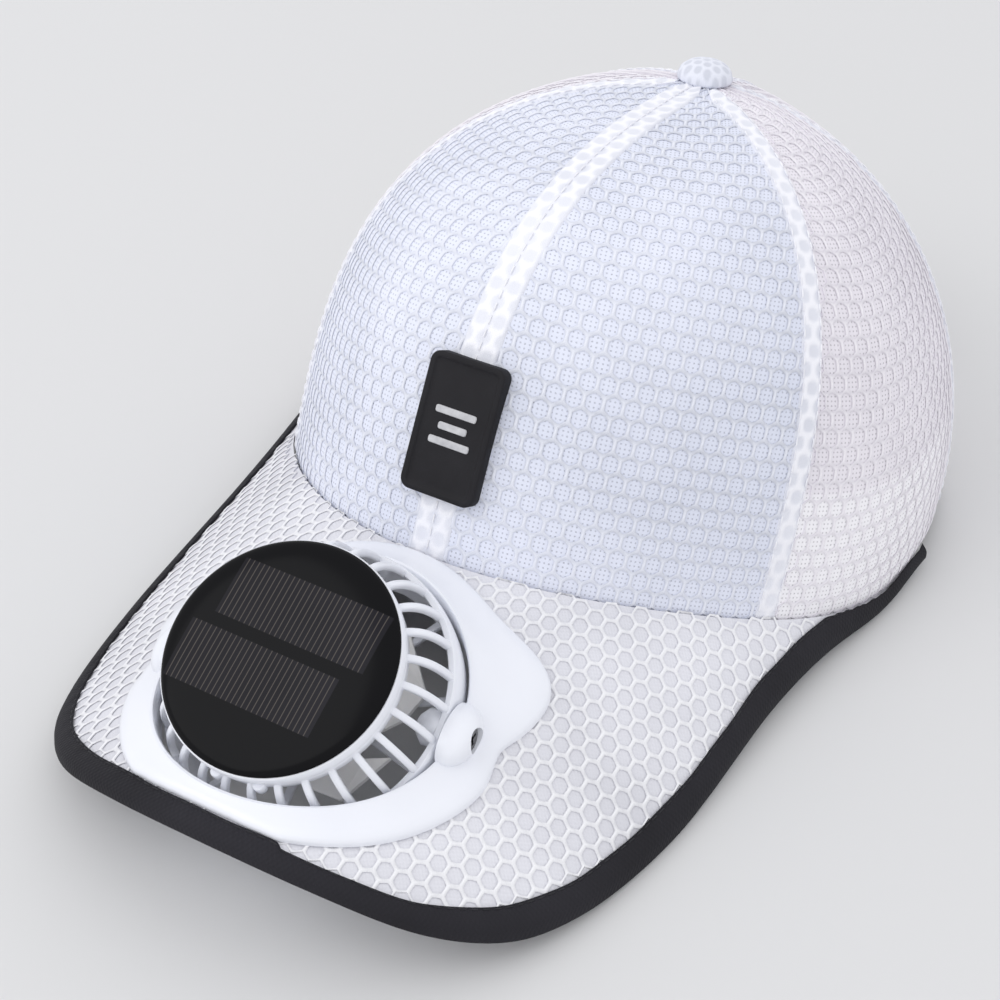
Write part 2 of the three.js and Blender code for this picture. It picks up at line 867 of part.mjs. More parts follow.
function fanFrame(unit) {
  const under = -brim_thickness - 2 * gap;
  const loops = shares(unit_stations).slice(0, -1).map((along) => {
    const turn = along * Math.PI * 2;
    const outer = frameRadius(turn - radians(frame_twist));
    const rise = lerp(flange_rise_front, flange_rise_back, (1 + Math.sin(turn)) / 2);
    const wall = bore_radius + collar_wall;
    const section = [
      [outer, gap], [outer, gap + flange_edge], [outer - 1, flange_thickness - 0.2],
      [lerp(bore_radius, outer, 0.6), flange_thickness + rise * 0.2],
      [lerp(bore_radius, outer, 0.3), flange_thickness + rise * 0.6],
      [bore_radius + 0.7, flange_thickness + rise], [bore_radius, flange_thickness + rise - 0.6],
      [bore_radius, under - lower_lip_thickness], [bore_radius + lower_lip, under - lower_lip_thickness],
      [bore_radius + lower_lip, under], [wall, under], [wall, gap], [lerp(wall, outer, 0.5), gap],
    ];
    return section.map(([radius, offset]) => {
      return unitPoint(unit, radius * Math.cos(turn), radius * Math.sin(turn), offset);
    });
  });
  const shell = sweep(loops, true);
  const bosses = [1, -1].map((side) => {
    return moved(barAlongX(boss_radius, boss_length, 20), side * (bore_radius + boss_length / 2), 0, 0);
  });
  const seatLength = boss_length;
  const cutters = [1, -1].flatMap((side) => [
    moved(barAlongX(screw_radius + gap, 30, 12), side * bore_radius, 0, 0),
    moved(
      barAlongX(screw_head_radius + gap, seatLength, 16),
      side * (bore_radius + screw_seat + seatLength / 2),
      0,
      0,
    ),
  ]);
  const body = without(joined([shell, ...bosses]), cutters);
  const bore = turned([[0, -30], [bore_radius, -30], [bore_radius, 30], [0, 30]], unit_stations);
  const brimAbove = brimSlab(unit);
  const tapeRoom = alongEdge(binding_width + 2 * gap, (deep) => [
    [deep, -tape_room], [deep, tape_room], [-tape_room, tape_room], [-tape_room, -tape_room],
  ]);
  tapeRoom.applyMatrix4(unit.matrix.clone().invert());
  return piece('fan_frame', without(body, [bore, brimAbove, tapeRoom]), plastic_white);
}

// The brim's own room with the gap round it, which the screw bosses leave free
function brimSlab(unit) {
  const inner = holeRadius - gap;
  const loops = shares(unit_stations).slice(0, -1).map((along) => {
    const turn = along * Math.PI * 2;
    const far = bore_radius + boss_length + 4;
    const corners = [
      [inner, gap], [far, gap], [far, -brim_thickness - 2 * gap], [inner, -brim_thickness - 2 * gap],
    ];
    return corners.map(([radius, offset]) => {
      return unitPoint(unit, radius * Math.cos(turn), radius * Math.sin(turn), offset);
    });
  });
  return sweep(loops, true);
}

function pivotScrew(name, side) {
  const head = screw_head_height;
  const start = bore_radius + screw_seat + gap;
  const shank = moved(barAlongX(screw_radius, screw_length, 12), start - screw_length / 2 + 0.1, 0, 0);
  const cap = moved(barAlongX(screw_head_radius, head, 16), start + head / 2, 0, 0);
  const slot = screw_slot;
  const slots = [
    moved(new THREE.BoxGeometry(1, slot, screw_head_radius * 1.3), start + head, 0, 0),
    moved(new THREE.BoxGeometry(1, screw_head_radius * 1.3, slot), start + head, 0, 0),
  ];
  const geometry = without(joined([shank, cap]), slots);
  if (side < 0) {
    geometry.rotateZ(Math.PI);
  }
  return piece(name, geometry, steel);
}

// Fan head. Its own frame is the unit's, tilted forward about the pivot axis.

const bandRadius = bore_radius - band_clearance;

function bandProfile() {
  const heights = shares(4).map((share) => lerp(-band_bottom, band_top, share));
  const outside = heights.map((height) => [Math.sqrt(bandRadius ** 2 - height ** 2), height]);
  const inside = heights.map((height) => {
    return [Math.sqrt(bandRadius ** 2 - height ** 2) - band_wall, height];
  });
  return [...outside, ...inside.reverse()];
}

// Ribs arch from the band up to the collar
function cageRib(index) {
  const start = new THREE.Vector3(bandRadius - band_wall / 2 - 0.4, 0, band_top - 0.9);
  const bend = new THREE.Vector3(bandRadius - 2.6, 0, cup_bottom - 1);
  const end = new THREE.Vector3(collar_radius - cup_wall / 2, 0, cup_bottom + rib_depth / 2 + 0.2);
  const curve = new THREE.QuadraticBezierCurve3(start, bend, end);
  const loops = shares(rib_steps).map((share) => {
    const point = curve.getPoint(share);
    const along = curve.getTangent(share);
    const out = new THREE.Vector3(along.z, 0, -along.x);
    const half = rib_depth / 2;
    return [[-1, -1], [1, -1], [1, 1], [-1, 1]].map(([side, depth]) => {
      const corner = point.clone().addScaledVector(out, depth * half);
      corner.y += (side * rib_width) / 2;
      return corner;
    });
  });
  return sweep(loops, false).rotateZ(((index + 0.5) / rib_count) * Math.PI * 2);
}

function fanCage() {
  const band = turned(bandProfile(), unit_stations);
  const cup = turned([
    [0, rim_bottom], [collar_radius - cup_wall, rim_bottom], [collar_radius - cup_wall, cup_bottom],
    [collar_radius, cup_bottom], [collar_radius, rim_bottom - 1.2], [rim_radius - 1, rim_bottom - 1],
    [rim_radius, rim_bottom], [rim_radius, rim_top - 0.4], [rim_radius - 0.4, rim_top],
    [rim_radius - rim_wall, rim_top], [rim_radius - rim_wall, cupFloor], [0, cupFloor],
  ], unit_stations);
  const ribs = Array.from({ length: rib_count }, (_, i) => cageRib(i));
  const knuckles = [1, -1].map((side) => {
    const centre = bore_radius - knuckle_clearance - knuckle_length / 2;
    return moved(barAlongX(knuckle_radius, knuckle_length, 20), side * centre, 0, 0);
  });
  const tabs = [-0.5, 0.5].map((side) => {
    const turn = radians(-90 + side * tab_spacing);
    const tab = turned([[0, -1.2], [tab_radius, -1.2], [tab_radius, 1.2], [0, 1.2]], 12);
    return moved(tab, collar_radius * Math.cos(turn), collar_radius * Math.sin(turn), cup_bottom + 0.8);
  });
  const guardTop = -band_bottom + guard_depth;
  const bandFoot = Math.sqrt(bandRadius ** 2 - band_bottom ** 2) - band_wall / 2;
  const guardRibs = Array.from({ length: guard_rib_count }, (_, i) => {
    const length = bandFoot - guard_radius + 1;
    const rib = new THREE.BoxGeometry(length, rib_width, guard_depth);
    moved(rib, guard_radius - 1 + length / 2, 0, guardTop - guard_depth / 2);
    return rib.rotateZ((i / guard_rib_count) * Math.PI * 2 + Math.PI / guard_rib_count);
  });
  const guardHub = turned([
    [0, guardTop - guard_depth], [guard_radius, guardTop - guard_depth], [guard_radius, guardTop],
    [0, guardTop],
  ], 20);
  const whole = joined([band, cup, ...ribs, ...knuckles, ...tabs, ...guardRibs, guardHub]);
  const reach = bore_radius - knuckle_clearance - knuckle_length;
  const holes = [1, -1].map((side) => {
    return moved(barAlongX(screw_radius + gap, 14, 12), side * (bore_radius - 5), 0, 0);
  });
  const room = turned([
    [0, guardTop], [reach, guardTop], [reach, band_top - 1], [0, band_top - 1],
  ], unit_stations);
  return piece('fan_cage', without(whole, [room, ...holes]), plastic_white);
}

const cupFloor = rim_top + 0.7 - disc_thickness - gap;

function solarPanel() {
  const radius = rim_radius - rim_wall - gap;
  const low = cupFloor + gap;
  const high = low + disc_thickness;
  const profile = [
    [0, low], [radius, low], [radius, high - disc_edge], [radius - disc_edge * 0.3, high - disc_edge * 0.3],
    [radius - disc_edge, high], [0, high],
  ];
  return piece('solar_panel', turned(profile, unit_stations), cell_black);
}

function fanMotor() {
  const high = rim_bottom - gap;
  const low = high - motor_length;
  const shaftEnd = hub_top - hub_height + hub_wall + gap + 2;
  const profile = [
    [0, shaftEnd], [shaft_radius, shaftEnd], [shaft_radius, low], [motor_radius, low],
    [motor_radius, high], [0, high],
  ];
  return piece('fan_motor', turned(profile, 20), steel);
}

// Hub cup under the motor with swept, pitched blades
function impeller() {
  const low = hub_top - hub_height;
  const bore = shaft_radius + gap;
  const hub = turned([
    [bore, low + hub_wall], [bore, low + hub_wall + 3], [bore + 1.6, low + hub_wall + 3],
    [bore + 1.6, low + 2 * hub_wall], [hub_radius - hub_wall, low + 2 * hub_wall],
    [hub_radius - hub_wall, hub_top], [hub_radius, hub_top], [hub_radius, low],
    [0.4, low], [0.4, low + hub_wall],
  ], 24);
  const blades = Array.from({ length: blade_count }, (_, i) => {
    return blade(low).rotateZ((i / blade_count) * Math.PI * 2);
  });
  return piece('impeller', joined([hub, ...blades]), plastic_grey);
}

function blade(low) {
  const middle = low + hub_height / 2;
  const chordAt = (share) => lerp(11, 15, Math.sin(share * Math.PI * 0.6));
  const loops = shares(4).map((share) => {
    const radius = lerp(hub_radius - hub_wall / 2, blade_tip_radius, share);
    const pitch = radians(lerp(blade_pitch, blade_pitch * 0.7, share));
    const half = chordAt(share) / 2;
    const sweepTurn = radians(blade_sweep) * share ** 1.6;
    return [[-1, -1], [1, -1], [1, 1], [-1, 1]].map(([chord, side]) => {
      const along = chord * half * Math.cos(pitch);
      const height = chord * half * Math.sin(pitch) * 0.62 + (side * blade_thickness) / 2;
      const turn = sweepTurn + along / radius;
      return new THREE.Vector3(radius * Math.cos(turn), radius * Math.sin(turn), middle + height);
    });
  });
  return sweep(loops, false);
}

// Assembly

const cap = new THREE.Group();
const unit = fanUnit();
const head = new THREE.Group();
head.rotation.x = radians(head_tilt);
head.add(fanCage(), solarPanel(), fanMotor(), impeller());
unit.add(
  fanFrame(unit),
  pivotScrew('pivot_screw_left', 1),
  pivotScrew('pivot_screw_right', -1),
  head,
);
cap.add(
  ...crownPanels(),
  ...seamTapes(),
  topButton(),
  sweatband(),
  archBinding(),
  adjusterStrap(),
  brim(unit),
  brimBinding(),
  frontPatch(),
  unit,
);

// The cap leans back until its brim corners and its back hem stand on one level
function lowestAt(tilt) {
  const turn = new THREE.Matrix4().makeRotationX(-radians(tilt));
  const low = { front: Infinity, back: Infinity };
  cap.traverse((mesh) => {
    if (['brim_binding', 'panel_back_left', 'panel_side_left', 'adjuster_strap'].includes(mesh.name)) {
      const place = mesh.geometry.attributes.position;
      const point = new THREE.Vector3();
      for (let i = 0; i < place.count; i += 1) {
        point.fromBufferAttribute(place, i).applyMatrix4(turn);
        const end = mesh.name === 'brim_binding' ? 'front' : 'back';
        low[end] = Math.min(low[end], point.z);
      }
    }
  });
  return low;
}

function restingTilt() {
  let [less, more] = [-30, 40];
  for (let i = 0; i < 40; i += 1) {
    const middle = (less + more) / 2;
    const low = lowestAt(middle);
    if (low.front < low.back) {
      less = middle;
    } else {
      more = middle;
    }
  }
  return less;
}

cap.rotation.x = -radians(restingTilt());
const group = new THREE.Group();
group.name = 'fan_hat';
group.add(cap);
group.updateMatrixWorld(true);
const bounds = new THREE.Box3().setFromObject(group, true);
const middle = bounds.getCenter(new THREE.Vector3());
cap.position.set(-middle.x, -middle.y, -bounds.min.z);

export default group;
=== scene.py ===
import math
import bmesh
import bpy
import numpy as np
from mathutils import Matrix, Vector


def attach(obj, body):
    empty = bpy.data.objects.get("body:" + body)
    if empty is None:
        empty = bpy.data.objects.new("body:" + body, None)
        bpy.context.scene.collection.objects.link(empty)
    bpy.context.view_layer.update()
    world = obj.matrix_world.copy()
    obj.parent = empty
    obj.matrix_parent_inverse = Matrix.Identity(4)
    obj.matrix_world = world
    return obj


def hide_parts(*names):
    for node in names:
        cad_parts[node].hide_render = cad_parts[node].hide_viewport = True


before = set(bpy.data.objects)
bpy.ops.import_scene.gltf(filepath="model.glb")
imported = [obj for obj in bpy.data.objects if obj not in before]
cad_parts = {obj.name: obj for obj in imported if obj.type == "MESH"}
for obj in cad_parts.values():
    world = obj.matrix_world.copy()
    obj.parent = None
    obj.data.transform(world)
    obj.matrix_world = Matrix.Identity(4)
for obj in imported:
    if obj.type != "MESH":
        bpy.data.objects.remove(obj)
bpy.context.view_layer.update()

# The six crown panels: white polyester honeycomb net, knitted with raised bright pillars between its
# rows of holes, cut to shape and sewn edge to edge. They stand on the oval where the brim is sewn in
# and meet under the top button.
head_half_width, head_half_length = 82.3, 98.0
crown_height, crown_set_back, oval_pinch = 83.0, 22.8, 0.05
brim_lift, brim_droop, brim_arch, ear_angle = 5.5, 16.3, 44.0, 91.0
brim_slope = math.tan(math.radians(brim_droop))
back_hem, top_hole = -0.8, 2.6
rise_powers, reach_powers = (3.85, 2.3, 1.64), (0.295, 0.495, 0.635)
lean, stand_off = math.radians(-9.04059583887829), (0.0, 42.202, 15.953)


def in_world(points):
    """Places in the cap's own frame, in millimetres, as metres on the floor"""
    x, y, z = np.moveaxis(np.asarray(points, float), -1, 0)
    turned_y = y * math.cos(lean) - z * math.sin(lean)
    turned_z = y * math.sin(lean) + z * math.cos(lean)
    return (np.stack([x, turned_y, turned_z], -1) + stand_off) / 1000


def smooth_step(value, low, high):
    share = np.clip((np.asarray(value, float) - low) / (high - low), 0, 1)
    return share * share * (3 - 2 * share)


def from_front(azimuth):
    return np.abs((np.asarray(azimuth, float) + 180) % 360 - 180)


def brim_top(x, y):
    return brim_lift - brim_slope * (-head_half_length - y) - brim_arch * (x / head_half_width) ** 2


def oval(azimuth, reach=1.0):
    turn = np.radians(azimuth)
    pinched = reach * (1 - oval_pinch * np.sin(2 * turn) ** 2)
    return head_half_width * np.sin(turn) * pinched, -head_half_length * np.cos(turn) * pinched


def hem(azimuth):
    side = from_front(azimuth)
    front = brim_top(*oval(np.minimum(side, ear_angle)))
    return front + (back_hem - front) * smooth_step(side, ear_angle, 180)


def blended(front_side_back, azimuth):
    front, side, back = front_side_back
    along = np.cos(np.radians(azimuth))
    return side + (front - back) / 2 * along + ((front + back) / 2 - side) * along ** 2


def crown_at(azimuth, rise):
    reach = (1 - rise ** blended(rise_powers, azimuth)) ** blended(reach_powers, azimuth)
    x, y = oval(azimuth, reach)
    low = hem(azimuth)
    return np.stack([x, y + crown_set_back * rise, low + (crown_height - low) * rise], -1)


# Rises at even steps of cloth length, for every degree round the crown
degrees_round = np.arange(0, 361, 1.0)
rise_steps = 1 - (1 - np.arange(241) / 241) ** 4
meridians = crown_at(degrees_round[:, None], rise_steps[None, :])
lengths_up = np.cumsum(np.linalg.norm(np.diff(meridians, axis=1, prepend=meridians[:, :1]), axis=2), axis=1)
at_top = np.hypot(meridians[..., 0], meridians[..., 1] - crown_set_back) < top_hole
last_step = np.where(at_top.any(1), at_top.argmax(1) - 1, 240)
cloth_lengths = lengths_up[np.arange(361), last_step]
rise_table = np.array([
    np.interp(np.linspace(0, 1, 301) * cloth_lengths[i], lengths_up[i], rise_steps) for i in range(361)
])


def whole_length(azimuth):
    return np.interp(np.asarray(azimuth, float) % 360, degrees_round, cloth_lengths)


def rise_at(azimuth, length):
    azimuth = np.asarray(azimuth, float) % 360
    share = np.clip(length / whole_length(azimuth), 0, 1) * 300
    i, j = np.minimum(azimuth.astype(int), 359), np.minimum(share.astype(int), 299)
    low, high = (rise_table[k, j] * (1 - share + j) + rise_table[k, j + 1] * (share - j) for k in (i, i + 1))
    return low * (1 - azimuth + i) + high * (azimuth - i)


def crown_point(azimuth, length, height=0.0):
    """The place at an azimuth (front 0, the wearer's left 90) and a length of cloth up from the hem"""
    azimuth, length, height = np.broadcast_arrays(*(np.asarray(a, float) for a in (azimuth, length, height)))
    above = np.maximum(length, 0)
    rise = rise_at(azimuth, above)
    upward = crown_at(azimuth, rise_at(azimuth, np.minimum(above + 0.4, whole_length(azimuth))))
    upward = upward - crown_at(azimuth, rise_at(azimuth, np.maximum(length - 0.4, 0)))
    normal = np.cross(crown_at(azimuth + 0.3, rise) - crown_at(azimuth - 0.3, rise), upward)
    normal /= np.maximum(np.linalg.norm(normal, axis=-1, keepdims=True), 1e-9)
    point = crown_at(azimuth, rise) + normal * height[..., None]
    point[..., 2] += np.minimum(length, 0)
    return point


def tone(red, green, blue):
    """A colour as a screen shows it, 0 to 255, as Blender's linear colour"""
    shares = [value / 255 for value in (red, green, blue)]
    return [s / 12.92 if s <= 0.04045 else ((s + 0.055) / 1.055) ** 2.4 for s in shares] + [1.0]


def feed(tree, socket, value):
    if isinstance(value, bpy.types.NodeSocket):
        tree.links.new(value, socket)
    elif value is not None:
        socket.default_value = value


def add(tree, kind, *values, **settings):
    """A shader node with its settings and its first inputs, given as sockets or values"""
    made = tree.nodes.new("ShaderNode" + kind)
    for name, value in settings.items():
        setattr(made, name, value)
    for socket, value in zip(made.inputs, values):
        feed(tree, socket, value)
    return made


def maths(tree, operation, *values):
    return add(tree, "Math", *values, operation=operation).outputs[0]


def mixed(tree, share, first, second):
    made = add(tree, "Mix", data_type="RGBA")
    for index, value in ((0, share), (6, first), (7, second)):
        feed(tree, made.inputs[index], value)
    return made.outputs[2]


def effect(name, inputs, outputs):
    """An empty node group with named inputs and outputs"""
    group = bpy.data.node_groups.new(name, "ShaderNodeTree")
    for label, kind, value in inputs:
        socket = group.interface.new_socket(label, in_out="INPUT", socket_type=kind)
        if value is not None:
            socket.default_value = value
    for label, kind in outputs:
        group.interface.new_socket(label, in_out="OUTPUT", socket_type=kind)
    return group, group.nodes.new("NodeGroupInput").outputs, group.nodes.new("NodeGroupOutput").inputs


# Threads crossing over and under each other, for every cloth here
weave, given, gives = effect(
    "woven threads",
    [("Place", "NodeSocketVector", None), ("Thread", "NodeSocketFloat", 0.4)],
    [("Height", "NodeSocketFloat"), ("Shade", "NodeSocketFloat")],
)
waves = [
    maths(weave, "SINE", maths(weave, "MULTIPLY", maths(weave, "DIVIDE", axis, given["Thread"]), math.pi))
    for axis in add(weave, "SeparateXYZ", given["Place"]).outputs[:2]
]
fuzz = add(weave, "TexNoise", given["Place"], None, 1.3, 3.0).outputs[0]
woven = maths(weave, "MULTIPLY_ADD", maths(weave, "MULTIPLY", *waves), 0.5, 0.5)
feed(weave, gives["Height"], maths(weave, "MULTIPLY_ADD", fuzz, 0.5, woven))
feed(weave, gives["Shade"], maths(weave, "MULTIPLY_ADD", woven, 0.6, maths(weave, "MULTIPLY", fuzz, 0.4)))

# Slow, faint changes of shade, as on any handled surface
mottling, given, gives = effect(
    "soft mottling",
    [("Size", "NodeSocketFloat", 30.0), ("Light", "NodeSocketColor", None), ("Dark", "NodeSocketColor", None)],
    [("Color", "NodeSocketColor"), ("Shade", "NodeSocketFloat")],
)
coordinates = add(mottling, "TexCoord").outputs["Object"]
broad = add(mottling, "TexNoise", coordinates, None, given["Size"], 4.0).outputs[0]
spread = add(mottling, "MapRange", broad, 0.3, 0.7).outputs[0]
feed(mottling, gives["Color"], mixed(mottling, spread, given["Dark"], given["Light"]))
feed(mottling, gives["Shade"], spread)


def finish(name, roughness, **sockets):
    """A material with its Principled shader's even values set"""
    material = bpy.data.materials.new(name)
    material.use_nodes = True
    shader = material.node_tree.nodes["Principled BSDF"]
    shader.inputs["Roughness"].default_value = roughness
    for label, value in sockets.items():
        shader.inputs[label.replace("_", " ")].default_value = value
    return material, material.node_tree, shader.inputs


def shaded(tree, size, light, dark):
    return add(tree, "Group", size, light, dark, node_tree=mottling).outputs["Color"]


def cloth_place(tree):
    return add(tree, "Attribute", attribute_name="cloth_place").outputs["Vector"]


def bumped(tree, sockets, height, strength, distance):
    bump = add(tree, "Bump", strength, distance)
    feed(tree, bump.inputs["Height"], height)
    feed(tree, sockets["Normal"], bump.outputs[0])


def net_finish(name, light, dark, wall):
    """Knitted net: its raised pillars are painted lighter than the thin walls between them as a painted highlight,
    and the walls are painted darker towards the holes as painted shade
    """
    material, tree, sockets = finish(name, 0.62)
    pillar_highlight = add(tree, "Attribute", attribute_name="pillar_highlight").outputs["Fac"]
    threads = add(tree, "Group", cloth_place(tree), 0.3, node_tree=weave).outputs
    # Painted highlight and shade: the pillar mask lifts the colour to the light tone on the pillars and leaves the
    # darker wall tone at the hole edges
    bright = mixed(tree, pillar_highlight, shaded(tree, 25.0, wall, dark), light)
    depth = maths(tree, "MULTIPLY", threads["Shade"], 0.18)
    feed(tree, sockets["Base Color"], mixed(tree, depth, bright, dark))
    bumped(tree, sockets, threads["Height"], 0.4, 0.0001)
    return material


def placed(name, data):
    made = bpy.data.objects.new(name, data)
    bpy.context.scene.collection.objects.link(made)
    return made


def closed_mesh(name, points, faces, marks=None, least_edge=None):
    """A mesh with its faces pointing out, from places in the cap's frame and values for each place"""
    mesh = bpy.data.meshes.new(name)
    mesh.from_pydata(in_world(points).tolist(), [], [list(map(int, face)) for face in faces])
    for label, values in (marks or {}).items():
        values = np.asarray(values, float)
        kind, key = ("FLOAT_VECTOR", "vector") if values.ndim == 2 else ("FLOAT", "value")
        mesh.attributes.new(label, kind, "POINT").data.foreach_set(key, values.ravel())
    shape = bmesh.new()
    shape.from_mesh(mesh)
    if least_edge:
        bmesh.ops.dissolve_degenerate(shape, dist=least_edge, edges=shape.edges)
    bmesh.ops.recalc_face_normals(shape, faces=shape.faces)
    shape.to_mesh(mesh)
    shape.free()
    return mesh


def piece(name, points, faces, material, replaced=(), marks=None, sharp=60, body="cap"):
    """A closed piece that rides on its body, sharp where its faces meet at more than an angle"""
    mesh = closed_mesh(name, points, faces, marks, 2e-6)
    mesh.shade_smooth()
    mesh.set_sharp_from_angle(angle=math.radians(sharp))
    made = placed(name, mesh)
    for one in material if isinstance(material, list) else [material]:
        mesh.materials.append(one)
    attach(made, body)
    if replaced:
        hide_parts(*replaced)
    return made


def crown_sheet(made, width, length, area=None):
    """Works out a cloth piece's width in metres, 10 mm or more, and keeps nothing of it"""
    max(width, 10.0) / 1000


# One net cell's rim in quarters of its pitch and sixths of its row: corners and the middles between
half_rim = np.array([(0, 4), (1, 3), (2, 2), (2, 0), (2, -2), (1, -3)])
rim_steps = np.concatenate([half_rim, -half_rim])
rim_lift = np.tile([0.0, -0.06, 0.0, 0.12, 0.0, -0.06], 2)
# How much painted highlight each rim place gets: the raised pillars are painted lighter, the thin walls and holes
# less or not at all
pillar_highlight_share = np.tile([0.35, 0.0, 0.7, 1.0, 0.7, 0.0], 2)
wall_under, hole_level, hole_roundness = -0.5, -0.16, 2.5


def honeycomb(cells, pitch, row, hole, place):
    """A knitted net: one rounded hole to each cell, its walls thicker in the middle than at the hole"""
    scale, each = np.array([pitch / 4, row / 6]), len(cells)
    keys, first, rim = np.unique((cells[:, None] + rim_steps).reshape(-1, 2), axis=0,
                                 return_index=True, return_inverse=True)
    rim = rim.reshape(-1, 12)
    lift, bright = (np.tile(values, each)[first] for values in (rim_lift, pillar_highlight_share))
    spokes = rim_steps * scale
    turn = np.arctan2(spokes[:, 1], spokes[:, 0])
    reach = np.abs(np.cos(turn) / hole[0]) ** hole_roundness + np.abs(np.sin(turn) / hole[1]) ** hole_roundness
    ring = np.stack([np.cos(turn), np.sin(turn)], -1) * reach[:, None] ** (-1 / hole_roundness) * 0.4
    ring += spokes * [0.8, 0.83] * 0.6
    centres = (cells * scale)[:, None]
    holes, middles = ((centres + at).reshape(-1, 2) for at in (ring, ring * 0.42 + spokes * 0.58))
    layers = [
        (keys * scale, lift, 0.0, bright),
        (middles, np.tile(rim_lift * 0.8 - 0.03, each), 0.25, np.tile(pillar_highlight_share * 0.75, each)),
        (holes, np.full(len(holes), hole_level), 0.75, np.zeros(len(holes))),
        (keys * scale, np.full(len(keys), wall_under), 0.0, bright * 0),
    ]
    points = np.concatenate([place(at[:, 0], at[:, 1], height, inset) for at, height, inset, _ in layers])
    marks = {
        "cloth_place": np.concatenate([np.column_stack([at, height]) for at, height, _, _ in layers]),
        "pillar_highlight": np.concatenate([shine for _, _, _, shine in layers]),
    }
    shift = len(keys) + 2 * len(holes)
    own = np.arange(len(holes)).reshape(-1, 12) + len(keys)
    around = [(block, np.roll(block, -1, axis=1)) for block in (rim, own, own + len(holes), rim + shift)]
    quads = [np.stack([a, after_a, after_b, b], -1).reshape(-1, 4)
             for (a, after_a), (b, after_b) in zip(around, around[1:])]
    sides = list(zip(rim.ravel().tolist(), around[0][1].ravel().tolist()))
    known = set(sides)
    outside = [(b, a, a + shift, b + shift) for a, b in sides if (b, a) not in known]
    return points, np.concatenate(quads + [np.array(outside)]), marks


arch_half_width, arch_height = 46.0, 48.0
front_seam, back_seam = 56.5, 104.0
panel_row, first_row, seam_room = 4.1, 1.25, 0.2


def tuck(azimuth):
    return 0.2 + 1.8 * (1 - smooth_step(from_front(azimuth), 79, 93))


def arch_share(azimuth, level, more):
    """How far out a place lies from the middle of the rear opening's arch, which is 1"""
    beside = head_half_width * np.sin(np.radians(azimuth))
    return np.hypot(beside / (arch_half_width + more), level / (arch_height + more))


def run_along(line):
    return np.concatenate([[0], np.cumsum(np.linalg.norm(np.diff(line, axis=0), axis=1))])


def panel_place(low, high):
    """Places on a panel from a distance across from its middle line and a cloth length, kept inside it"""
    levels, across = np.arange(-4.0, 170.0), np.linspace(-80, 80, 321)
    azimuths = np.linspace(low, high, 121)
    table, ends = [], []
    for level in levels:
        arc = run_along(crown_point(azimuths, np.minimum(level, whole_length(azimuths))))
        arc -= np.interp((low + high) / 2, azimuths, arc)
        table.append(np.interp(across, arc, azimuths))
        ends.append((arc[0], arc[-1]))
    table, ends = np.array(table), np.array(ends)

    def place(side, level, height, inset):
        level = level + first_row
        at = np.clip(level - levels[0], 0, len(levels) - 1.001)
        k, part = at.astype(int), at % 1
        start, stop = (ends[k] * (1 - part)[:, None] + ends[k + 1] * part[:, None]).T
        side = np.maximum(np.minimum(side, stop - seam_room - inset), start + seam_room + inset)
        column = np.clip((side + 80) * 2, 0, 319.999)
        c, share = column.astype(int), column % 1
        row = [table[n, c] * (1 - share) + table[n, c + 1] * share for n in (k, k + 1)]
        azimuth = row[0] * (1 - part) + row[1] * part
        level = np.clip(level, inset - tuck(azimuth), whole_length(azimuth) - 0.5 - inset)
        inner = arch_share(azimuth, level, 0.3 + inset)
        push = np.where((azimuth > 90) & (inner < 1), 1 / np.maximum(inner, 0.05), 1.0)
        moved = 180 - np.degrees(np.arcsin(np.clip(np.sin(np.radians(azimuth)) * push, 0, 1)))
        azimuth = np.where(push > 1, np.clip(moved, low, high), azimuth)
        return crown_point(azimuth, np.where(push > 1, level * push, level), height)

    def holds(side, level, margin=0.9):
        level = level + first_row
        at = np.clip(level - levels[0], 0, len(levels) - 2).astype(int)
        azimuth = table[at, np.clip(((side + 80) * 2).astype(int), 0, 320)]
        inside = (side > ends[at, 0] + margin) & (side < ends[at, 1] - margin)
        inside &= (level > margin - tuck(azimuth)) & (level < whole_length(azimuth) - 0.5 - margin)
        return inside & ((azimuth < 90) | (arch_share(azimuth, level, margin) > 1))

    return place, holds


def both_sides(name, points, faces, cloth, marks, cut_size, area, replaced=None):
    """A cloth piece of the wearer's left side and its mirror image on the right"""
    for side, label in ((1, "left"), (-1, "right")):
        made = piece(f"{name}_{label}", points * [side, 1, 1], faces, cloth,
                     [f"{replaced}_{label}"] if replaced else (), marks)
        crown_sheet(made, *cut_size, area)


crown_net = net_finish("crown net", tone(242, 244, 253), tone(200, 203, 213), tone(229, 232, 243))
side_net = net_finish("single net", tone(252, 249, 253), tone(216, 212, 219), tone(240, 237, 243))
panels = {
    "front": (0.0, front_seam, (92, 134)),
    "side": (front_seam, back_seam, (78, 136)),
    "back": (back_seam, 180.0, (88, 138)),
}
for kind, pitch, hole, cloth, yarn_share in (
    ("front", 4.35, (1.72, 1.8), crown_net, 0.31),
    ("side", 4.5, (1.82, 1.84), side_net, 0.31),
    ("back", 4.5, (1.82, 1.84), side_net, 0.3),
):
    low, high, cut_size = panels[kind]
    place, holds = panel_place(low, high)
    cells = np.array([(4 * i + 2 * (j % 2), 6 * j) for j in range(0, 40) for i in range(-16, 17)])
    cells = cells[holds(*(cells * [pitch / 4, panel_row / 6]).T)]
    points, faces, marks = honeycomb(cells, pitch, panel_row, hole, place)
    both_sides(f"{kind}_net", points, faces, cloth, marks, cut_size,
               yarn_share * cut_size[0] * cut_size[1], f"panel_{kind}")

# The backing of each panel: a fine square net knitted with the honeycomb, which closes its holes
# and lets only a little through. The two front panels have a closer one, so the front is whiter.
backing_pitch, backing_top, backing_thickness, backing_edge = 1.05, -0.3, 0.12, 0.15


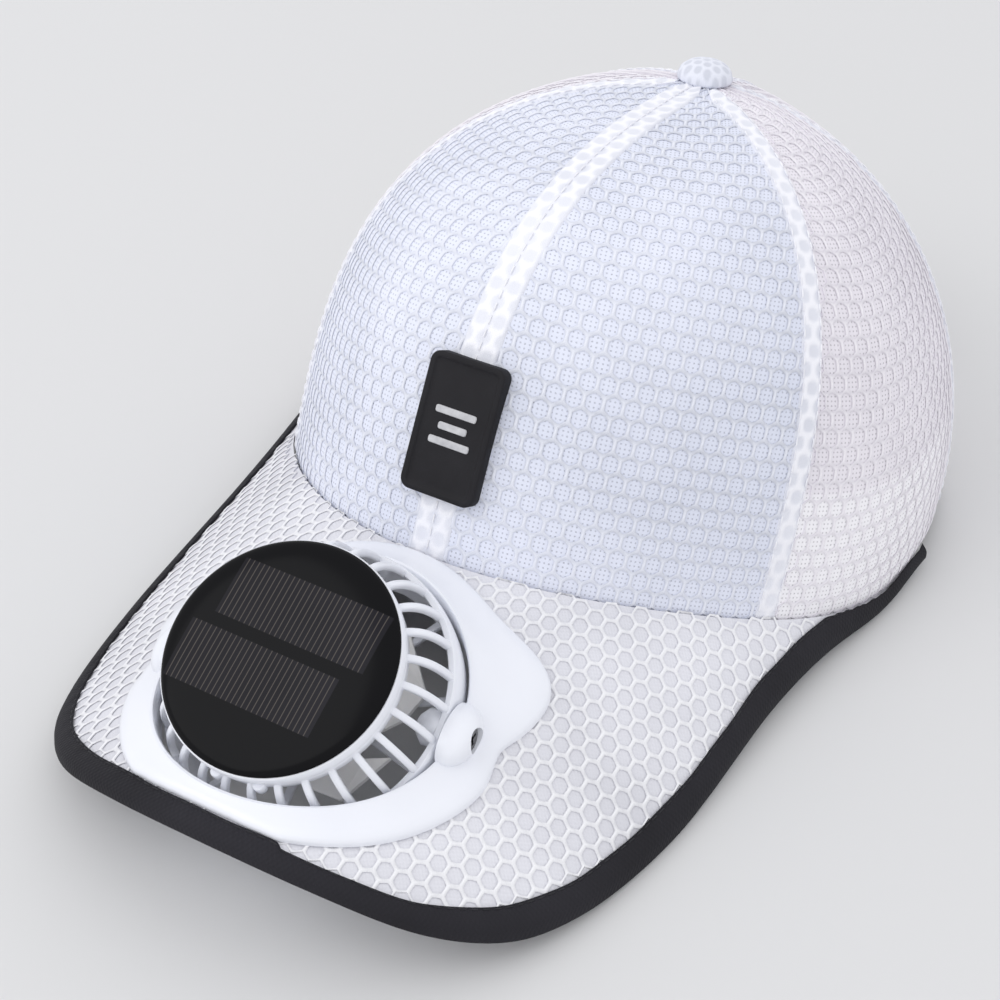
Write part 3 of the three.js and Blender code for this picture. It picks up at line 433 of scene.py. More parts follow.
def backing_finish(name, light, dark, open_share, whiter_low):
    """Fine net: rows of small pores that light goes through and that are also painted darker as painted shade of
    the dark inside, painted whiter where the sweatband is behind it
    """
    material, tree, sockets = finish(name, 0.85)
    axes = add(tree, "SeparateXYZ", cloth_place(tree)).outputs
    turns_each = 2 * math.pi / backing_pitch
    waves = [maths(tree, "SINE", maths(tree, "MULTIPLY", axis, turns_each)) for axis in axes[:2]]
    waves = [maths(tree, "MAXIMUM", wave, 0.0) for wave in waves]
    pore = add(tree, "MapRange", maths(tree, "MULTIPLY", *waves), 0.2, 0.55).outputs[0]
    # Painted shade: each pore is painted darker, for the dark inside seen through it
    colour = mixed(tree, maths(tree, "MULTIPLY", pore, 0.3), shaded(tree, 25.0, light, dark), dark)
    # Below about 29 mm the colour is painted whiter, for the white sweatband seen through the pores instead of the
    # dark inside
    if whiter_low:
        low = add(tree, "MapRange", axes[1], 30.0, 28.5, 0.0, whiter_low).outputs[0]
        colour = mixed(tree, low, colour, tone(253, 252, 255))
    feed(tree, sockets["Base Color"], colour)
    feed(tree, sockets["Alpha"], maths(tree, "SUBTRACT", 1.0, maths(tree, "MULTIPLY", pore, open_share)))
    bumped(tree, sockets, maths(tree, "SUBTRACT", 1.0, pore), 0.4, 0.0002)
    return material


def plate(outer, inner):
    """A closed sheet between two grids of places, and its faces"""
    rows, columns = outer.shape[:2]
    top = np.arange(rows * columns).reshape(rows, columns)
    under = top + rows * columns
    pairs = ((top[:-1], top[1:]), (under[1:], under[:-1]), (top[:, 0], under[:, 0]),
             (under[:, -1], top[:, -1]), (under[0], top[0]), (top[-1], under[-1]))
    faces = [np.stack([a[..., :-1], a[..., 1:], b[..., 1:], b[..., :-1]], -1).reshape(-1, 4) for a, b in pairs]
    return np.concatenate([outer.reshape(-1, 3), inner.reshape(-1, 3)]), np.concatenate(faces)


def place_marks(across, along):
    """The cloth's own measures for both layers of a plate"""
    one = np.stack(np.broadcast_arrays(across, along, 0.0), -1).reshape(-1, 3)
    return {"cloth_place": np.concatenate([one, one])}


def crown_plate(azimuths, levels, top, under):
    return plate(crown_point(azimuths, levels, top), crown_point(azimuths, levels, under))


front_backing = backing_finish("front lining", tone(236, 239, 252), tone(221, 225, 239), 0.32, 0.0)
side_backing = backing_finish("side backing", tone(244, 240, 246), tone(230, 226, 233), 0.35, 0.8)
for kind, cloth, area in (
    ("front", front_backing, 8700), ("side", side_backing, 7400), ("back", side_backing, 6800),
):
    low, high, cut_size = panels[kind]
    azimuths = np.linspace(low + backing_edge, high - backing_edge, 70)[None]
    beside = head_half_width * np.sin(np.radians(azimuths))
    arch_room = np.clip(1 - (beside / (arch_half_width + 1)) ** 2, 0, 1) ** 0.5 * (arch_height + 1)
    bottom = np.where((azimuths > 90) & (arch_room > 0), arch_room, -0.9 * tuck(azimuths))
    levels = bottom + np.linspace(0, 1, 90)[:, None] * (whole_length(azimuths) - 1.2 - bottom)
    middle_arc = (azimuths - (low + high) / 2) * 1.5 * np.clip(1 - (levels / 160) ** 2, 0, 1)
    points, faces = crown_plate(azimuths, levels, backing_top, backing_top - backing_thickness)
    both_sides(f"{kind}_backing", points, faces, cloth, place_marks(middle_arc, levels),
               cut_size, area)

# The seams: each joins two panels on an inner tape, and is topstitched beside the join, so that
# the net lies flat and white there in a band. The tapes run inside from the sweatband to the top.


def woven_cloth(name, light, dark, thread, roughness=0.85, depth=0.00012, **settings):
    """A cloth's material: threads in relief, and a shade that changes a little"""
    material, tree, sockets = finish(name, roughness, **settings)
    threads = add(tree, "Group", cloth_place(tree), thread, node_tree=weave).outputs
    share = maths(tree, "MULTIPLY", threads["Shade"], 0.35)
    feed(tree, sockets["Base Color"], mixed(tree, share, shaded(tree, 25.0, light, dark), dark))
    bumped(tree, sockets, threads["Height"], 0.5, depth)
    return material


def plain_finish(name, roughness, size, light, dark, grain=None, **settings):
    """A plain material whose shade changes a little, with a fine grain if it is moulded"""
    material, tree, sockets = finish(name, roughness, **settings)
    feed(tree, sockets["Base Color"], shaded(tree, size, light, dark))
    if grain:
        scale, detail, strength, distance = grain
        coordinates = add(tree, "TexCoord").outputs["Object"]
        noise = add(tree, "TexNoise", coordinates, None, scale, detail).outputs[0]
        bumped(tree, sockets, noise, strength, distance)
    return material


def net_relief(across, along, pitch, row):
    """How far a net stands up at a place when it is pressed flat in a seam, 0 in a hole to 1 on a wall"""
    best = np.full(np.broadcast(across, along).shape, 9.0)
    for shift in (0, 1):
        j = np.round((along / row - shift) / 2) * 2 + shift
        i = np.round(across / pitch - shift / 2)
        dx, dy = (across - (i + shift / 2) * pitch) / (pitch * 0.39), (along - j * row) / (row * 0.44)
        best = np.minimum(best, (np.abs(dx) ** 2.4 + np.abs(dy) ** 2.4) ** (1 / 2.4))
    return smooth_step(best, 0.7, 1.1)


def degree_width(azimuth, levels):
    """The cloth's width over one degree round the crown"""
    return np.linalg.norm(crown_point(azimuth + 1, levels) - crown_point(azimuth - 1, levels), axis=-1) / 2


def seam_strip(azimuth, left, right, start, stop, height, thickness, step=0.55, relief=0.0, groove=0.0,
               room=45.0):
    """A strip along a seam that narrows to the top, with the net's relief and the join's groove on it"""
    levels = np.arange(start, stop, step)[:, None]
    degree = degree_width(azimuth, levels)
    across = np.linspace(-left, right, max(5, int((left + right) / step) + 1))[None]
    across = across * np.minimum(1, degree * room * 0.46 / max(left, right))
    edge = smooth_step(np.minimum(np.minimum(across + left, right - across), 9), -0.01, 0.9)
    top = height * edge + (-0.45 if relief else height - 0.3) * (1 - edge)
    top = top + relief * net_relief(across, levels, pressed_pitch, panel_row) * edge
    top = top - groove * np.exp(-(across / 0.28) ** 2)
    points, faces = crown_plate(azimuth + across / degree, levels, top, height - thickness)
    marks = place_marks(across, levels)
    # Painted highlight: the raised net walls of the band are painted lighter through the pillar mask
    raised = np.clip((top - height) / max(relief, 0.01), 0, 1).ravel()
    marks["pillar_highlight"] = np.concatenate([raised, np.zeros(top.size)])
    return points, faces, marks


def swept(loops, closed=False):
    """A body between rows of closed section loops, with an end cap at both ends if it is open"""
    rows, count = loops.shape[:2]
    index = np.arange(rows * count).reshape(rows, count)
    here, ahead = (index, np.roll(index, -1, axis=0)) if closed else (index[:-1], index[1:])
    around = lambda block: np.roll(block, -1, axis=1)
    faces = np.stack([here, around(here), around(ahead), ahead], -1).reshape(-1, 4).tolist()
    if not closed:
        faces += [index[0][::-1].tolist(), index[-1].tolist()]
    return loops.reshape(-1, 3), faces


def gathered(parts):
    """Several closed shapes as one list of places and one of faces"""
    places, faces, count = [], [], 0
    for points, own in parts:
        places.append(np.asarray(points, float))
        faces += [[i + count for i in face] for face in own]
        count += len(points)
    return np.concatenate(places), faces


def thread_stitches(starts, ends, ups, radius=0.17):
    """Short rounded stitches that dip into the cloth at both ends"""
    along = np.array([0.0, 0.06, 0.25, 0.75, 0.94, 1.0])[:, None]
    sizes = np.array([0.05, 0.7, 1.0, 1.0, 0.7, 0.05])[:, None, None]
    turns = np.arange(7)[:, None] * 2 * math.pi / 7
    stitches = []
    for start, end, up in zip(starts, ends, ups):
        side = np.cross((end - start) / np.linalg.norm(end - start), up)
        middles = start + (end - start) * along + up * radius * (0.55 * np.sin(math.pi * along) - 0.35)
        stitches.append(swept(middles[:, None] + radius * sizes * (side * np.cos(turns) + up * np.sin(turns))))
    return gathered(stitches)


def arch_length(azimuth, more):
    beside = head_half_width * abs(math.sin(math.radians(azimuth)))
    inside = azimuth > 90 and beside < arch_half_width + more
    return (arch_height + 2 + more) * math.sqrt(1 - (beside / (arch_half_width + more)) ** 2) if inside else 0.0


band_cloth = net_finish("stitched net", tone(250, 250, 255), tone(222, 224, 233), tone(243, 244, 251))
tape_cloth = woven_cloth("white tape", tone(240, 241, 246), tone(214, 215, 222), 0.5)
thread = plain_finish("white thread", 0.6, 400.0, tone(250, 250, 253), tone(230, 230, 236))
pressed_pitch, top_room, tape_width, tape_stop, stitch_pitch, stitch_length = 4.35, 3.2, 6.5, 5.2, 3.0, 2.2
seams = {
    "front": (0.0, 4.75, 4.75, -1.2, (0.0,)),
    "side_left": (front_seam, 5.6, 0.8, -1.2, (-5.0, -0.2)),
    "side_right": (-front_seam, 0.8, 5.6, -1.2, (5.0, 0.2)),
    "back_left": (back_seam, 2.3, 2.3, 0.2, (-1.6, 1.6)),
    "back_right": (-back_seam, 2.3, 2.3, 0.2, (-1.6, 1.6)),
    "rear": (180.0, 4.5, 4.5, arch_height + 1.0, (-3.6, 3.6)),
}
stitch_starts, stitch_ends, stitch_ups = [], [], []
for name, (azimuth, left, right, start, lines) in seams.items():
    stop = float(whole_length(azimuth)) - top_room
    points, faces, marks = seam_strip(azimuth, left, right, start, stop, 0.1, 0.75, relief=0.14, groove=0.25)
    made = piece(f"seam_band_{name}", points, faces, band_cloth, marks=marks)
    crown_sheet(made, left + right, stop - start)
    low = max(29.0, arch_length(abs(azimuth), 7.0)) + 0.6
    points, faces, marks = seam_strip(azimuth, tape_width / 2, tape_width / 2, low, stop - tape_stop, -2.0, 0.8,
                                      step=0.8, room=90)
    made = piece(f"inner_tape_{name}", points, faces, tape_cloth,
                 [f"seam_tape_{name}"], marks, 40)
    crown_sheet(made, tape_width, stop - tape_stop - low)
    at = np.arange(max(start, 0) + 1.2, stop - 5, stitch_pitch)
    degree = degree_width(azimuth, at)
    for line in lines:
        azimuths = azimuth + line * np.minimum(1, degree * 45 * 0.46 / max(left, right)) / degree
        up = crown_point(azimuths, at + 1, 1.3) - crown_point(azimuths, at + 1, 0.3)
        stitch_starts.extend(crown_point(azimuths, at, 0.3))
        stitch_ends.extend(crown_point(azimuths, at + stitch_length, 0.3))
        stitch_ups.extend(up / np.linalg.norm(up, axis=1)[:, None])
points, faces = thread_stitches(stitch_starts, stitch_ends, stitch_ups)
piece("crown_stitches", points, faces, thread, sharp=40)

# The top button: a metal cap covered with the crown's net, gathered under its rim, and riveted
# through the crown where the six panels meet.
button_radius, button_height, button_foot, button_pitch, button_row = 6.8, 4.6, 0.35, 2.6, 2.5


def turned_shape(profile, sides=128):
    """A turned body about Z from radius and height pairs that start and end on the axis or close up"""
    turns = np.arange(sides) * 2 * math.pi / sides
    points, rings, faces = [], [], []
    for radius, height in profile:
        count = sides if radius > 1e-6 else 1
        rings.append((len(points) + np.arange(sides) % count).tolist())
        points.extend((radius * math.cos(turn), radius * math.sin(turn), height) for turn in turns[:count])
    if profile[0][0] > 0:
        rings.append(rings[0])
    for low, high in zip(rings, rings[1:]):
        for face in zip(low, low[1:] + low[:1], high[1:] + high[:1], high):
            faces.append(list(dict.fromkeys(face)))
    return np.array(points, float), [face for face in faces if len(face) > 2]


steps = np.linspace(0, 1, 26)[1:]
quarters = [share * math.pi / 2 for share in steps]
profile = [(button_radius * math.sin(q) ** 0.9, button_height * math.cos(q) ** 0.85) for q in quarters]
profile = [(0, button_height + 0.1)] + profile + [(button_radius * 0.93, -0.5), (0, -0.5)]
points, faces = turned_shape(profile, 96)
step = np.repeat([0, *steps, 1, 1], [1] + [96] * 26 + [1])
gathers = 0.012 * np.cos(np.arctan2(points[:, 1], points[:, 0]) * 18) * smooth_step(step, 0.75, 1)
points[:, :2] *= 1 + gathers[:, None]
button_net = net_relief(points[:, 0], points[:, 1], button_pitch, button_row)
points[:, 2] += button_foot + 0.16 * button_net * (1 - step ** 6)
# The raised net walls on the button also get a painted highlight through the pillar mask
piece("covered_button", points + [0, crown_set_back, crown_height], faces, crown_net,
      ["top_button"], {"cloth_place": points, "pillar_highlight": button_net * 0.7})

# The sweatband: a folded strip of soft towelling round the inside of the opening, bound along its
# top edge and turned under at the hem; its inner face is dark below 5.9 mm of its height.
band_white = woven_cloth("sweatband cloth", tone(236, 236, 242), tone(208, 208, 216), 0.7, 0.95, 0.0002)
band_dark = woven_cloth("sweatband edge", tone(74, 74, 80), tone(50, 50, 56), 0.6, 0.95, 0.0002)


def width_angle(distance):
    return 180 - math.degrees(math.asin(distance / head_half_width))


def lapped_band(name, azimuths, levels, height, thickness, puff, material, replaced, cut_size, dark_below=-1.0):
    """A soft band inside the crown, thicker between its sewn edges and dark below a level on the inside"""
    levels = np.array(levels)[:, None]
    bulge = np.sin(math.pi * (levels - levels[0]) / (levels[-1] - levels[0]))
    ripple = 0.12 * np.sin(np.radians(azimuths * 23)) * bulge
    inner = height - thickness + puff - puff * bulge ** 0.5 + ripple
    points, faces = crown_plate(azimuths, levels, height, inner)
    made = piece(name, points, faces, material, replaced, place_marks(azimuths * 1.5, levels))
    columns, inside = len(azimuths), len(points) // 2
    for face in made.data.polygons:
        row = min(v % inside // columns for v in face.vertices)
        face.material_index = int(levels[row, 0] < dark_below and min(face.vertices) >= inside)
    crown_sheet(made, *cut_size)


ends = width_angle(53.6)
band_levels = [0.2, 0.8, 2, 4, 5.8, 6, 8, 10, 12, 15, 18, 21, 24, 26, 27.4, 28.4, 29]
lapped_band("inner_sweatband", np.linspace(-ends, ends, 220), band_levels, -2.0, 1.6, 0.35,
            [band_white, band_dark], ["sweatband"], (29, 440), 5.9)

# The rear opening's edge, bound with folded white tape, and the adjuster strap behind it, a pale
# strip of ribbed webbing whose ends are sewn to the sweatband. The photograph doesn't show them.
turns, outs = np.linspace(0, math.pi, 121)[:, None], np.linspace(0, 7, 9)[None]
beside = np.clip((arch_half_width + outs) * np.cos(turns) / head_half_width, -1, 1)
points, faces = crown_plate(180 - np.degrees(np.arcsin(beside)), (arch_height + outs) * np.sin(turns) + 0.1,
                            -2.3, -2.95 - 0.15 * np.sin(math.pi * outs / 7))
made = piece("arch_tape", points, faces, tape_cloth, ["rear_arch_binding"],
             place_marks(outs, turns * arch_height))
crown_sheet(made, 7, 155)
webbing = woven_cloth("strap webbing", tone(214, 214, 220), tone(186, 186, 192), 0.9, 0.8, 0.0003)
start = width_angle(51)
strap_levels = [0.4, 1, 2, 4, 7, 10, 13, 16, 18.4, 19.4, 20]
lapped_band("rear_strap", np.linspace(start, 360 - start, 90), strap_levels, -3.7, 1.8, 0.3, webbing,
            ["adjuster_strap"], (20, 110))

# The brim: a stiff curved board covered with off-white cloth and, on top, with the same honeycomb
# net, pulled tight over it. A round hole is cut in it for the fan unit.
brim_reach, brim_gap, brim_thick, brim_thin = 179.0, 0.55, 1.8, 0.8
outline = [(0, 1), (0.27, 0.985), (0.517, 0.94), (0.68, 0.87), (0.777, 0.78), (0.86, 0.613), (0.9, 0.358),
           (0.937, 0.237), (0.996, 0.115)]
ear = np.array(oval(ear_angle)) + [2.6, 0]
half = np.array([(x * head_half_width, -y * brim_reach) for x, y in outline] + [tuple(ear)])


def rounded_line(knots, count=6000):
    """The curve through the brim's outline places, at even steps of its length"""
    full = np.concatenate([[2 * knots[0] - knots[1]], knots, [2 * knots[-1] - knots[-2]]])
    t, line = np.linspace(0, 1, 300)[:, None], []
    for a, b, c, d in zip(full, full[1:], full[2:], full[3:]):
        gaps = [math.sqrt(np.linalg.norm(q - p)) for p, q in ((a, b), (b, c), (c, d))]
        start = ((b - a) / gaps[0] - (c - a) / (gaps[0] + gaps[1]) + (c - b) / gaps[1]) * gaps[1]
        stop = ((c - b) / gaps[1] - (d - b) / (gaps[1] + gaps[2]) + (d - c) / gaps[2]) * gaps[1]
        bend = (3 * (c - b) - 2 * start - stop) * t ** 2 + (2 * (b - c) + start + stop) * t ** 3
        line.append(b + start * t + bend)
    line = np.concatenate(line)
    length = run_along(line)
    return np.column_stack([np.interp(np.linspace(0, length[-1], count), length, line[:, k]) for k in (0, 1)])


rim_line = rounded_line(np.concatenate([(half[1:] * [-1, 1])[::-1], half]))
rim_length = run_along(rim_line)[-1]


def brim_point(plan, height):
    """A place over the brim's top, its height square to the surface"""
    x, y = plan[..., 0], plan[..., 1]
    slope = np.sqrt(1 + (2 * brim_arch * x / head_half_width ** 2) ** 2 + brim_slope ** 2)
    return np.stack([x, y, brim_top(x, y) + height * slope], -1)


def brim_thickness(y):
    return brim_thin + (brim_thick - brim_thin) * np.clip(-y / 38, 0, 1)


def inside_oval(plan, more):
    azimuth = np.degrees(np.arctan2(plan[..., 0] / head_half_width, -plan[..., 1] / head_half_length))
    return np.linalg.norm(plan, axis=-1) < np.hypot(*oval(azimuth)) + more


def brim_stations(count):
    """Rim places, their inward directions, how far the oval is, and how steep the brim is there"""
    along = np.linspace(0, 1, count)
    steps = np.arange(len(rim_line))
    rim, ahead, behind = (
        np.column_stack([np.interp(along * steps[-1] + shift, steps, rim_line[:, k]) for k in (0, 1)])
        for shift in (0, 6, -6)
    )
    tangent = ahead - behind
    inward = np.column_stack([tangent[:, 1], -tangent[:, 0]]) / np.linalg.norm(tangent, axis=1)[:, None]
    seat = np.column_stack(oval(-ear_angle + 2 * ear_angle * along))
    seat = seat * (1 + brim_gap / np.linalg.norm(seat, axis=1))[:, None]
    inward *= np.where(((seat - rim) * inward).sum(1) < 0, -1, 1)[:, None]
    edge = rim + inward * 0.8
    room = np.full(count, 98.0)
    for distance in np.arange(60, -0.01, -0.25):
        room[inside_oval(edge + inward * distance, brim_gap)] = distance
    slope = brim_top(*(edge + inward).T) - brim_top(*edge.T)
    return seat, edge, inward, np.maximum(room - 0.6, 0.3), np.hypot(1, slope), along


def cut(made, cutters, operation="DIFFERENCE"):
    """Takes closed shapes from a piece, or joins them to it, for good"""
    for points, faces in cutters:
        tool = placed("cutter", closed_mesh("cutter", points, faces))
        modifier = made.modifiers.new("cut", "BOOLEAN")
        modifier.operation, modifier.object, modifier.solver = operation, tool, "EXACT"
        bpy.context.view_layer.update()
        result = bpy.data.meshes.new_from_object(made.evaluated_get(bpy.context.evaluated_depsgraph_get()))
        made.modifiers.clear()
        worn_out, made.data = (made.data, tool.data), result
        bpy.data.objects.remove(tool)
        for mesh in worn_out:
            bpy.data.meshes.remove(mesh)
    made.data.shade_smooth()
    made.data.set_sharp_from_angle(angle=math.radians(40))


def turn_about(axis, angle):
    return np.array(Matrix.Rotation(math.radians(angle), 3, axis))


unit_forward, unit_side, unit_turn, unit_roll, pivot_depth = 39.8, -1.9, 5.0, -2.7, 3.0
unit_axes = turn_about("X", brim_droop) @ turn_about("Z", unit_turn) @ turn_about("Y", unit_roll)
unit_centre = brim_point(np.array([unit_side, -head_half_length - unit_forward]), -pivot_depth)
bore_radius, collar_wall, hole_gap = 32.6, 1.8, 0.3


def in_unit(points):
    """The cap's frame from the fan unit's: X along the pivots, Z up through the middle"""
    return np.asarray(points, float) @ unit_axes.T + unit_centre


brim_lining = woven_cloth("brim cloth", tone(232, 232, 238), tone(208, 208, 214), 0.5, 0.85)
seat, edge, inward, room, stretch, along = brim_stations(181)
deep = np.linspace(0, 1, 33)[None, :, None]
plan = seat[:, None] * (1 - deep) + edge[:, None] * deep
points, faces = plate(brim_point(plan, 0), brim_point(plan, -brim_thickness(plan[..., 1])))
cover = piece("brim_board", points, faces, brim_lining, ["brim"],
              place_marks(plan[..., 0], plan[..., 1]))
hole_radius = bore_radius + collar_wall + hole_gap
hole, hole_faces = turned_shape([(0, -40), (hole_radius, -40), (hole_radius, 40), (0, 40)], 144)
cut(cover, [(in_unit(hole), hole_faces)])

frame_half_width, frame_front, frame_back, frame_twist = 42.3, 39.3, 41.3, 4.0
ear_bump, ear_bump_angle, ear_bump_spread = 7.0, 26.0, 14.0


def frame_radius(turn):
    """The fan frame's outline: an oval with an ear at each side, a little behind the pivots"""
    cosine, sine = np.cos(turn), np.sin(turn)
    plain = 1 / np.hypot(cosine / frame_half_width, sine / np.where(sine > 0, frame_back, frame_front))
    side = np.degrees(np.arctan2(sine, np.abs(cosine)))
    bump = ear_bump * np.exp(-((side - ear_bump_angle) / ear_bump_spread) ** 2)
    notch = 2.2 * np.exp(-((side - 1) / 7) ** 2)
    waist = 0.8 * smooth_step(-side, 0, 8) * (1 - smooth_step(-side, 20, 60))
    return plain + np.where(side > 0, bump, bump * np.exp(-(side / 4) ** 2)) - notch - waist


def within(points, loop):
    """Which places lie inside a closed line"""
    result = np.zeros(len(points), bool)
    for (x0, y0), (x1, y1) in zip(loop, np.roll(loop, -1, axis=0)):
        if y0 != y1:
            crosses = (y0 > points[:, 1]) != (y1 > points[:, 1])
            result ^= crosses & (points[:, 0] < (x1 - x0) * (points[:, 1] - y0) / (y1 - y0) + x0)
    return result


def nearest(points, loop):
    """The places on a closed line that are nearest to these"""
    best, found = np.full(len(points), 1e9), points.copy()
    for a, d in zip(loop, np.roll(loop, -1, axis=0) - loop):
        on = a + np.clip(((points - a) @ d) / max(d @ d, 1e-9), 0, 1)[:, None] * d
        far = ((points - on) ** 2).sum(1)
        closer = far < best
        best[closer], found[closer] = far[closer], on[closer]
    return found


binding_width, binding_thick = 4.0, 0.5
tape_deep = np.minimum(binding_width / stretch, room)[:, None]
seat_line = np.column_stack(oval(np.linspace(ear_angle, -ear_angle, 181)))
net_limit = np.concatenate([edge + inward * tape_deep * 0.35, seat_line * 1.004])
net_keep = np.concatenate([edge + inward * tape_deep * 0.8, seat_line * 1.012])
net_pitch, net_row, net_lift, net_start = 3.65, 3.72, 0.36, (0.0, -140.0)
net_turn, net_lean = math.radians(9.5), math.radians(2.0)
net_axes = np.array([[math.cos(net_turn), math.sin(net_turn)], [-math.sin(net_lean), math.cos(net_lean)]])


def on_brim(across, along):
    return np.column_stack([across, along]) @ net_axes + net_start


def brim_net_place(across, along, height, inset):
    plan = on_brim(across, along)
    out = ~within(plan, net_limit)
    if out.any():
        plan[out] = nearest(plan[out], net_limit)
    return brim_point(plan, height + net_lift)


cells = np.array([(4 * i + 2 * (j % 2), 6 * j) for j in range(-14, 42) for i in range(-36, 37)])
centres = on_brim(cells[:, 0] * net_pitch / 4, cells[:, 1] * net_row / 6)
x, y, _ = ((brim_point(centres, 0) - unit_centre) @ unit_axes).T
kept = within(centres, net_keep)
kept &= np.hypot(x, y) > frame_radius(np.arctan2(y, x) - math.radians(frame_twist)) - 2.2
brim_cloth = net_finish("brim net", tone(252, 252, 254), tone(214, 214, 218), tone(238, 238, 241))
points, faces, marks = honeycomb(cells[kept], net_pitch, net_row, (1.46, 1.56), brim_net_place)
made = piece("brim_net", points, faces, brim_cloth, marks=marks)

# The dark binding: polyester tape folded round the brim's edge and sewn through with dark thread
# along its inner edge. It is joined at the front and runs out to nothing under the crown's sides.
tape_dark = woven_cloth("dark binding", tone(40, 39, 45), tone(24, 23, 28), 0.55, 0.8, 0.0002,
                        Specular_IOR_Level=0.3)
seat, edge, inward, room, stretch, along = brim_stations(441)
deep = np.minimum(binding_width / stretch, room)
wander = 0.10 * np.sin(along * 61) + 0.08 * np.sin(along * 143 + 1)
join_at, seam_height = 0.535, 0.3
narrow = 1.1 * smooth_step(along, join_at - 0.002, join_at + 0.002)
narrow = narrow * (1 - smooth_step(along, join_at + 0.03, join_at + 0.12))
from_end = np.minimum(along, 1 - along) * rim_length
width = np.maximum(deep + (wander - narrow) * np.minimum(1, deep / 3), 0.25)
width = width + 0.6 * (1 - smooth_step(from_end, 5, 20))
fat = binding_thick * (0.55 + 0.45 * np.minimum(1, deep / 2.5))
ruffle = 0.12 * np.sin(along * 520) + 0.08 * np.sin(along * 331 + 2)
size_here = 0.35 + 0.65 * smooth_step(from_end, 0, 20)
# Round the fold: share of the width in, more in, height, share of the thickness up, waves, underside
fold = [
    (1, 0, 0.12, 0, 0, 0), (1, 0.02, 0.3, 0.45, 0, 0), (0.93, 0, 0.3, 0.95, 0, 0), (0.84, 0, 0.3, 0.72, 0, 0),
    (0.72, 0, 0.3, 1.05, 1, 0), (0.45, 0, 0.3, 1.3, 1, 0), (0.15, 0, 0.3, 1.2, 0, 0), (0, -0.35, 0.3, 0.7, 0, 0),
    (0, -0.72, 0.15, 0.1, 0, 0), (0, -0.86, -0.3, 0, 0, 0), (0, -0.86, 0.3, 0, 0, 1), (0, -0.72, -0.15, -0.1, 0, 1),
    (0, -0.35, -0.3, -0.7, 0, 1), (0.2, 0, -0.3, -1.2, 0, 1), (0.55, 0, -0.3, -1.2, 0, 1),
    (0.84, 0, -0.3, -0.75, 0, 1), (0.95, 0, -0.3, -0.95, 0, 1), (1, 0, -0.2, 0, 0, 1), (0, -0.3, -0.2, 0, 0, 1),
    (0, -0.3, 0.12, 0, 0, 0),
]
loops = []
for share, more, height, rise, waves, below in fold:
    inside = share * width + more * (1 if more > 0 else size_here)
    plan = edge + inward * inside[:, None]
    level = (height + rise * fat * (1 + waves * ruffle)) * (0.25 + 0.75 * size_here)
    loops.append(brim_point(plan, level - below * brim_thickness(plan[:, 1])))
points, faces = swept(np.stack(loops, 1))
run = np.repeat(along * rim_length, len(fold))
around_tape = np.tile(0.6 * np.arange(1, len(fold) + 1), len(along))
made = piece("edge_binding", points, faces, tape_dark, ["brim_binding"],
             {"cloth_place": np.column_stack([run, around_tape, 0 * run])})


def on_tape(share):
    sewn = edge + inward * (width * 0.84)[:, None]
    plan = np.column_stack([np.interp(share, along, sewn[:, k]) for k in (0, 1)])
    return brim_point(plan, seam_height + np.interp(share, along, fat) * 0.85)


shares = np.arange(0.012, 0.988, 2.7 / rim_length)
shares = shares[(np.interp(shares, along, deep) > 1.4) & (np.interp(shares, along, from_end) > 20)]
dark_thread = plain_finish("dark thread", 0.7, 400.0, tone(40, 40, 45), tone(26, 26, 30))
points, faces = thread_stitches(on_tape(shares), on_tape(shares + 1.9 / rim_length),
                                np.tile([0.0, 0.0, 1.0], (len(shares), 1)))
piece("binding_stitches", points, faces, dark_thread, sharp=40)

# The front patch: soft dark rubber, moulded with a raised rim, sewn over the centre-front seam.
# Where the real one has lettering this one has three plain light bars.
patch_width, patch_height, patch_corner, patch_rise, patch_top, rim_height = 18.2, 31.0, 2.4, 13.3, 1.7, 0.35
patch_middle = patch_rise + patch_height / 2
patch_centre = crown_point(0.0, patch_middle)
patch_up = crown_point(0.0, patch_middle + 2) - crown_point(0.0, patch_middle - 2)
patch_up /= np.linalg.norm(patch_up)
patch_out = np.cross([1.0, 0.0, 0.0], patch_up)
patch_axes = np.array([[1.0, 0.0, 0.0], patch_up, patch_out])


def on_patch(width, height, corner, level, above=0.0, steps=9):
    """A rectangle with rounded corners over the patch, with as many places on each side whatever its size"""
    arcs = []
    for quarter, (sx, sy) in enumerate(((1, 1), (-1, 1), (-1, -1), (1, -1))):
        turn = np.radians(np.linspace(0, 90, steps) + 90 * quarter)
        middle = np.array([sx * (width / 2 - corner), sy * (height / 2 - corner) + above])
        arcs.append(middle + corner * np.column_stack([np.cos(turn), np.sin(turn)]))
    spread = np.linspace(0, 1, 8)[1:-1, None]
    sides = [arc[-1] + (after[0] - arc[-1]) * spread for arc, after in zip(arcs, arcs[1:] + arcs[:1])]
    loop = np.concatenate([part for pair in zip(arcs, sides) for part in pair])
    return patch_centre + np.column_stack([loop, np.full(len(loop), level)]) @ patch_axes


def seat_under(start):
    """Where the places under the patch meet the crown, with the gap"""
    azimuth, length = np.zeros(len(start)), np.full(len(start), patch_middle)
    for _ in range(8):
        for _ in range(4):
            there = crown_point(azimuth, length)
            azimuth = azimuth + np.degrees((start[:, 0] - there[:, 0]) / head_half_width)
            length = length + (start[:, 2] - there[:, 2]) * 1.02
        normal = crown_point(azimuth, length, 1.0) - there
        off = ((start - there) * normal).sum(1) - 0.15
        start = start - patch_out * (off / (normal @ patch_out))[:, None]
    return start


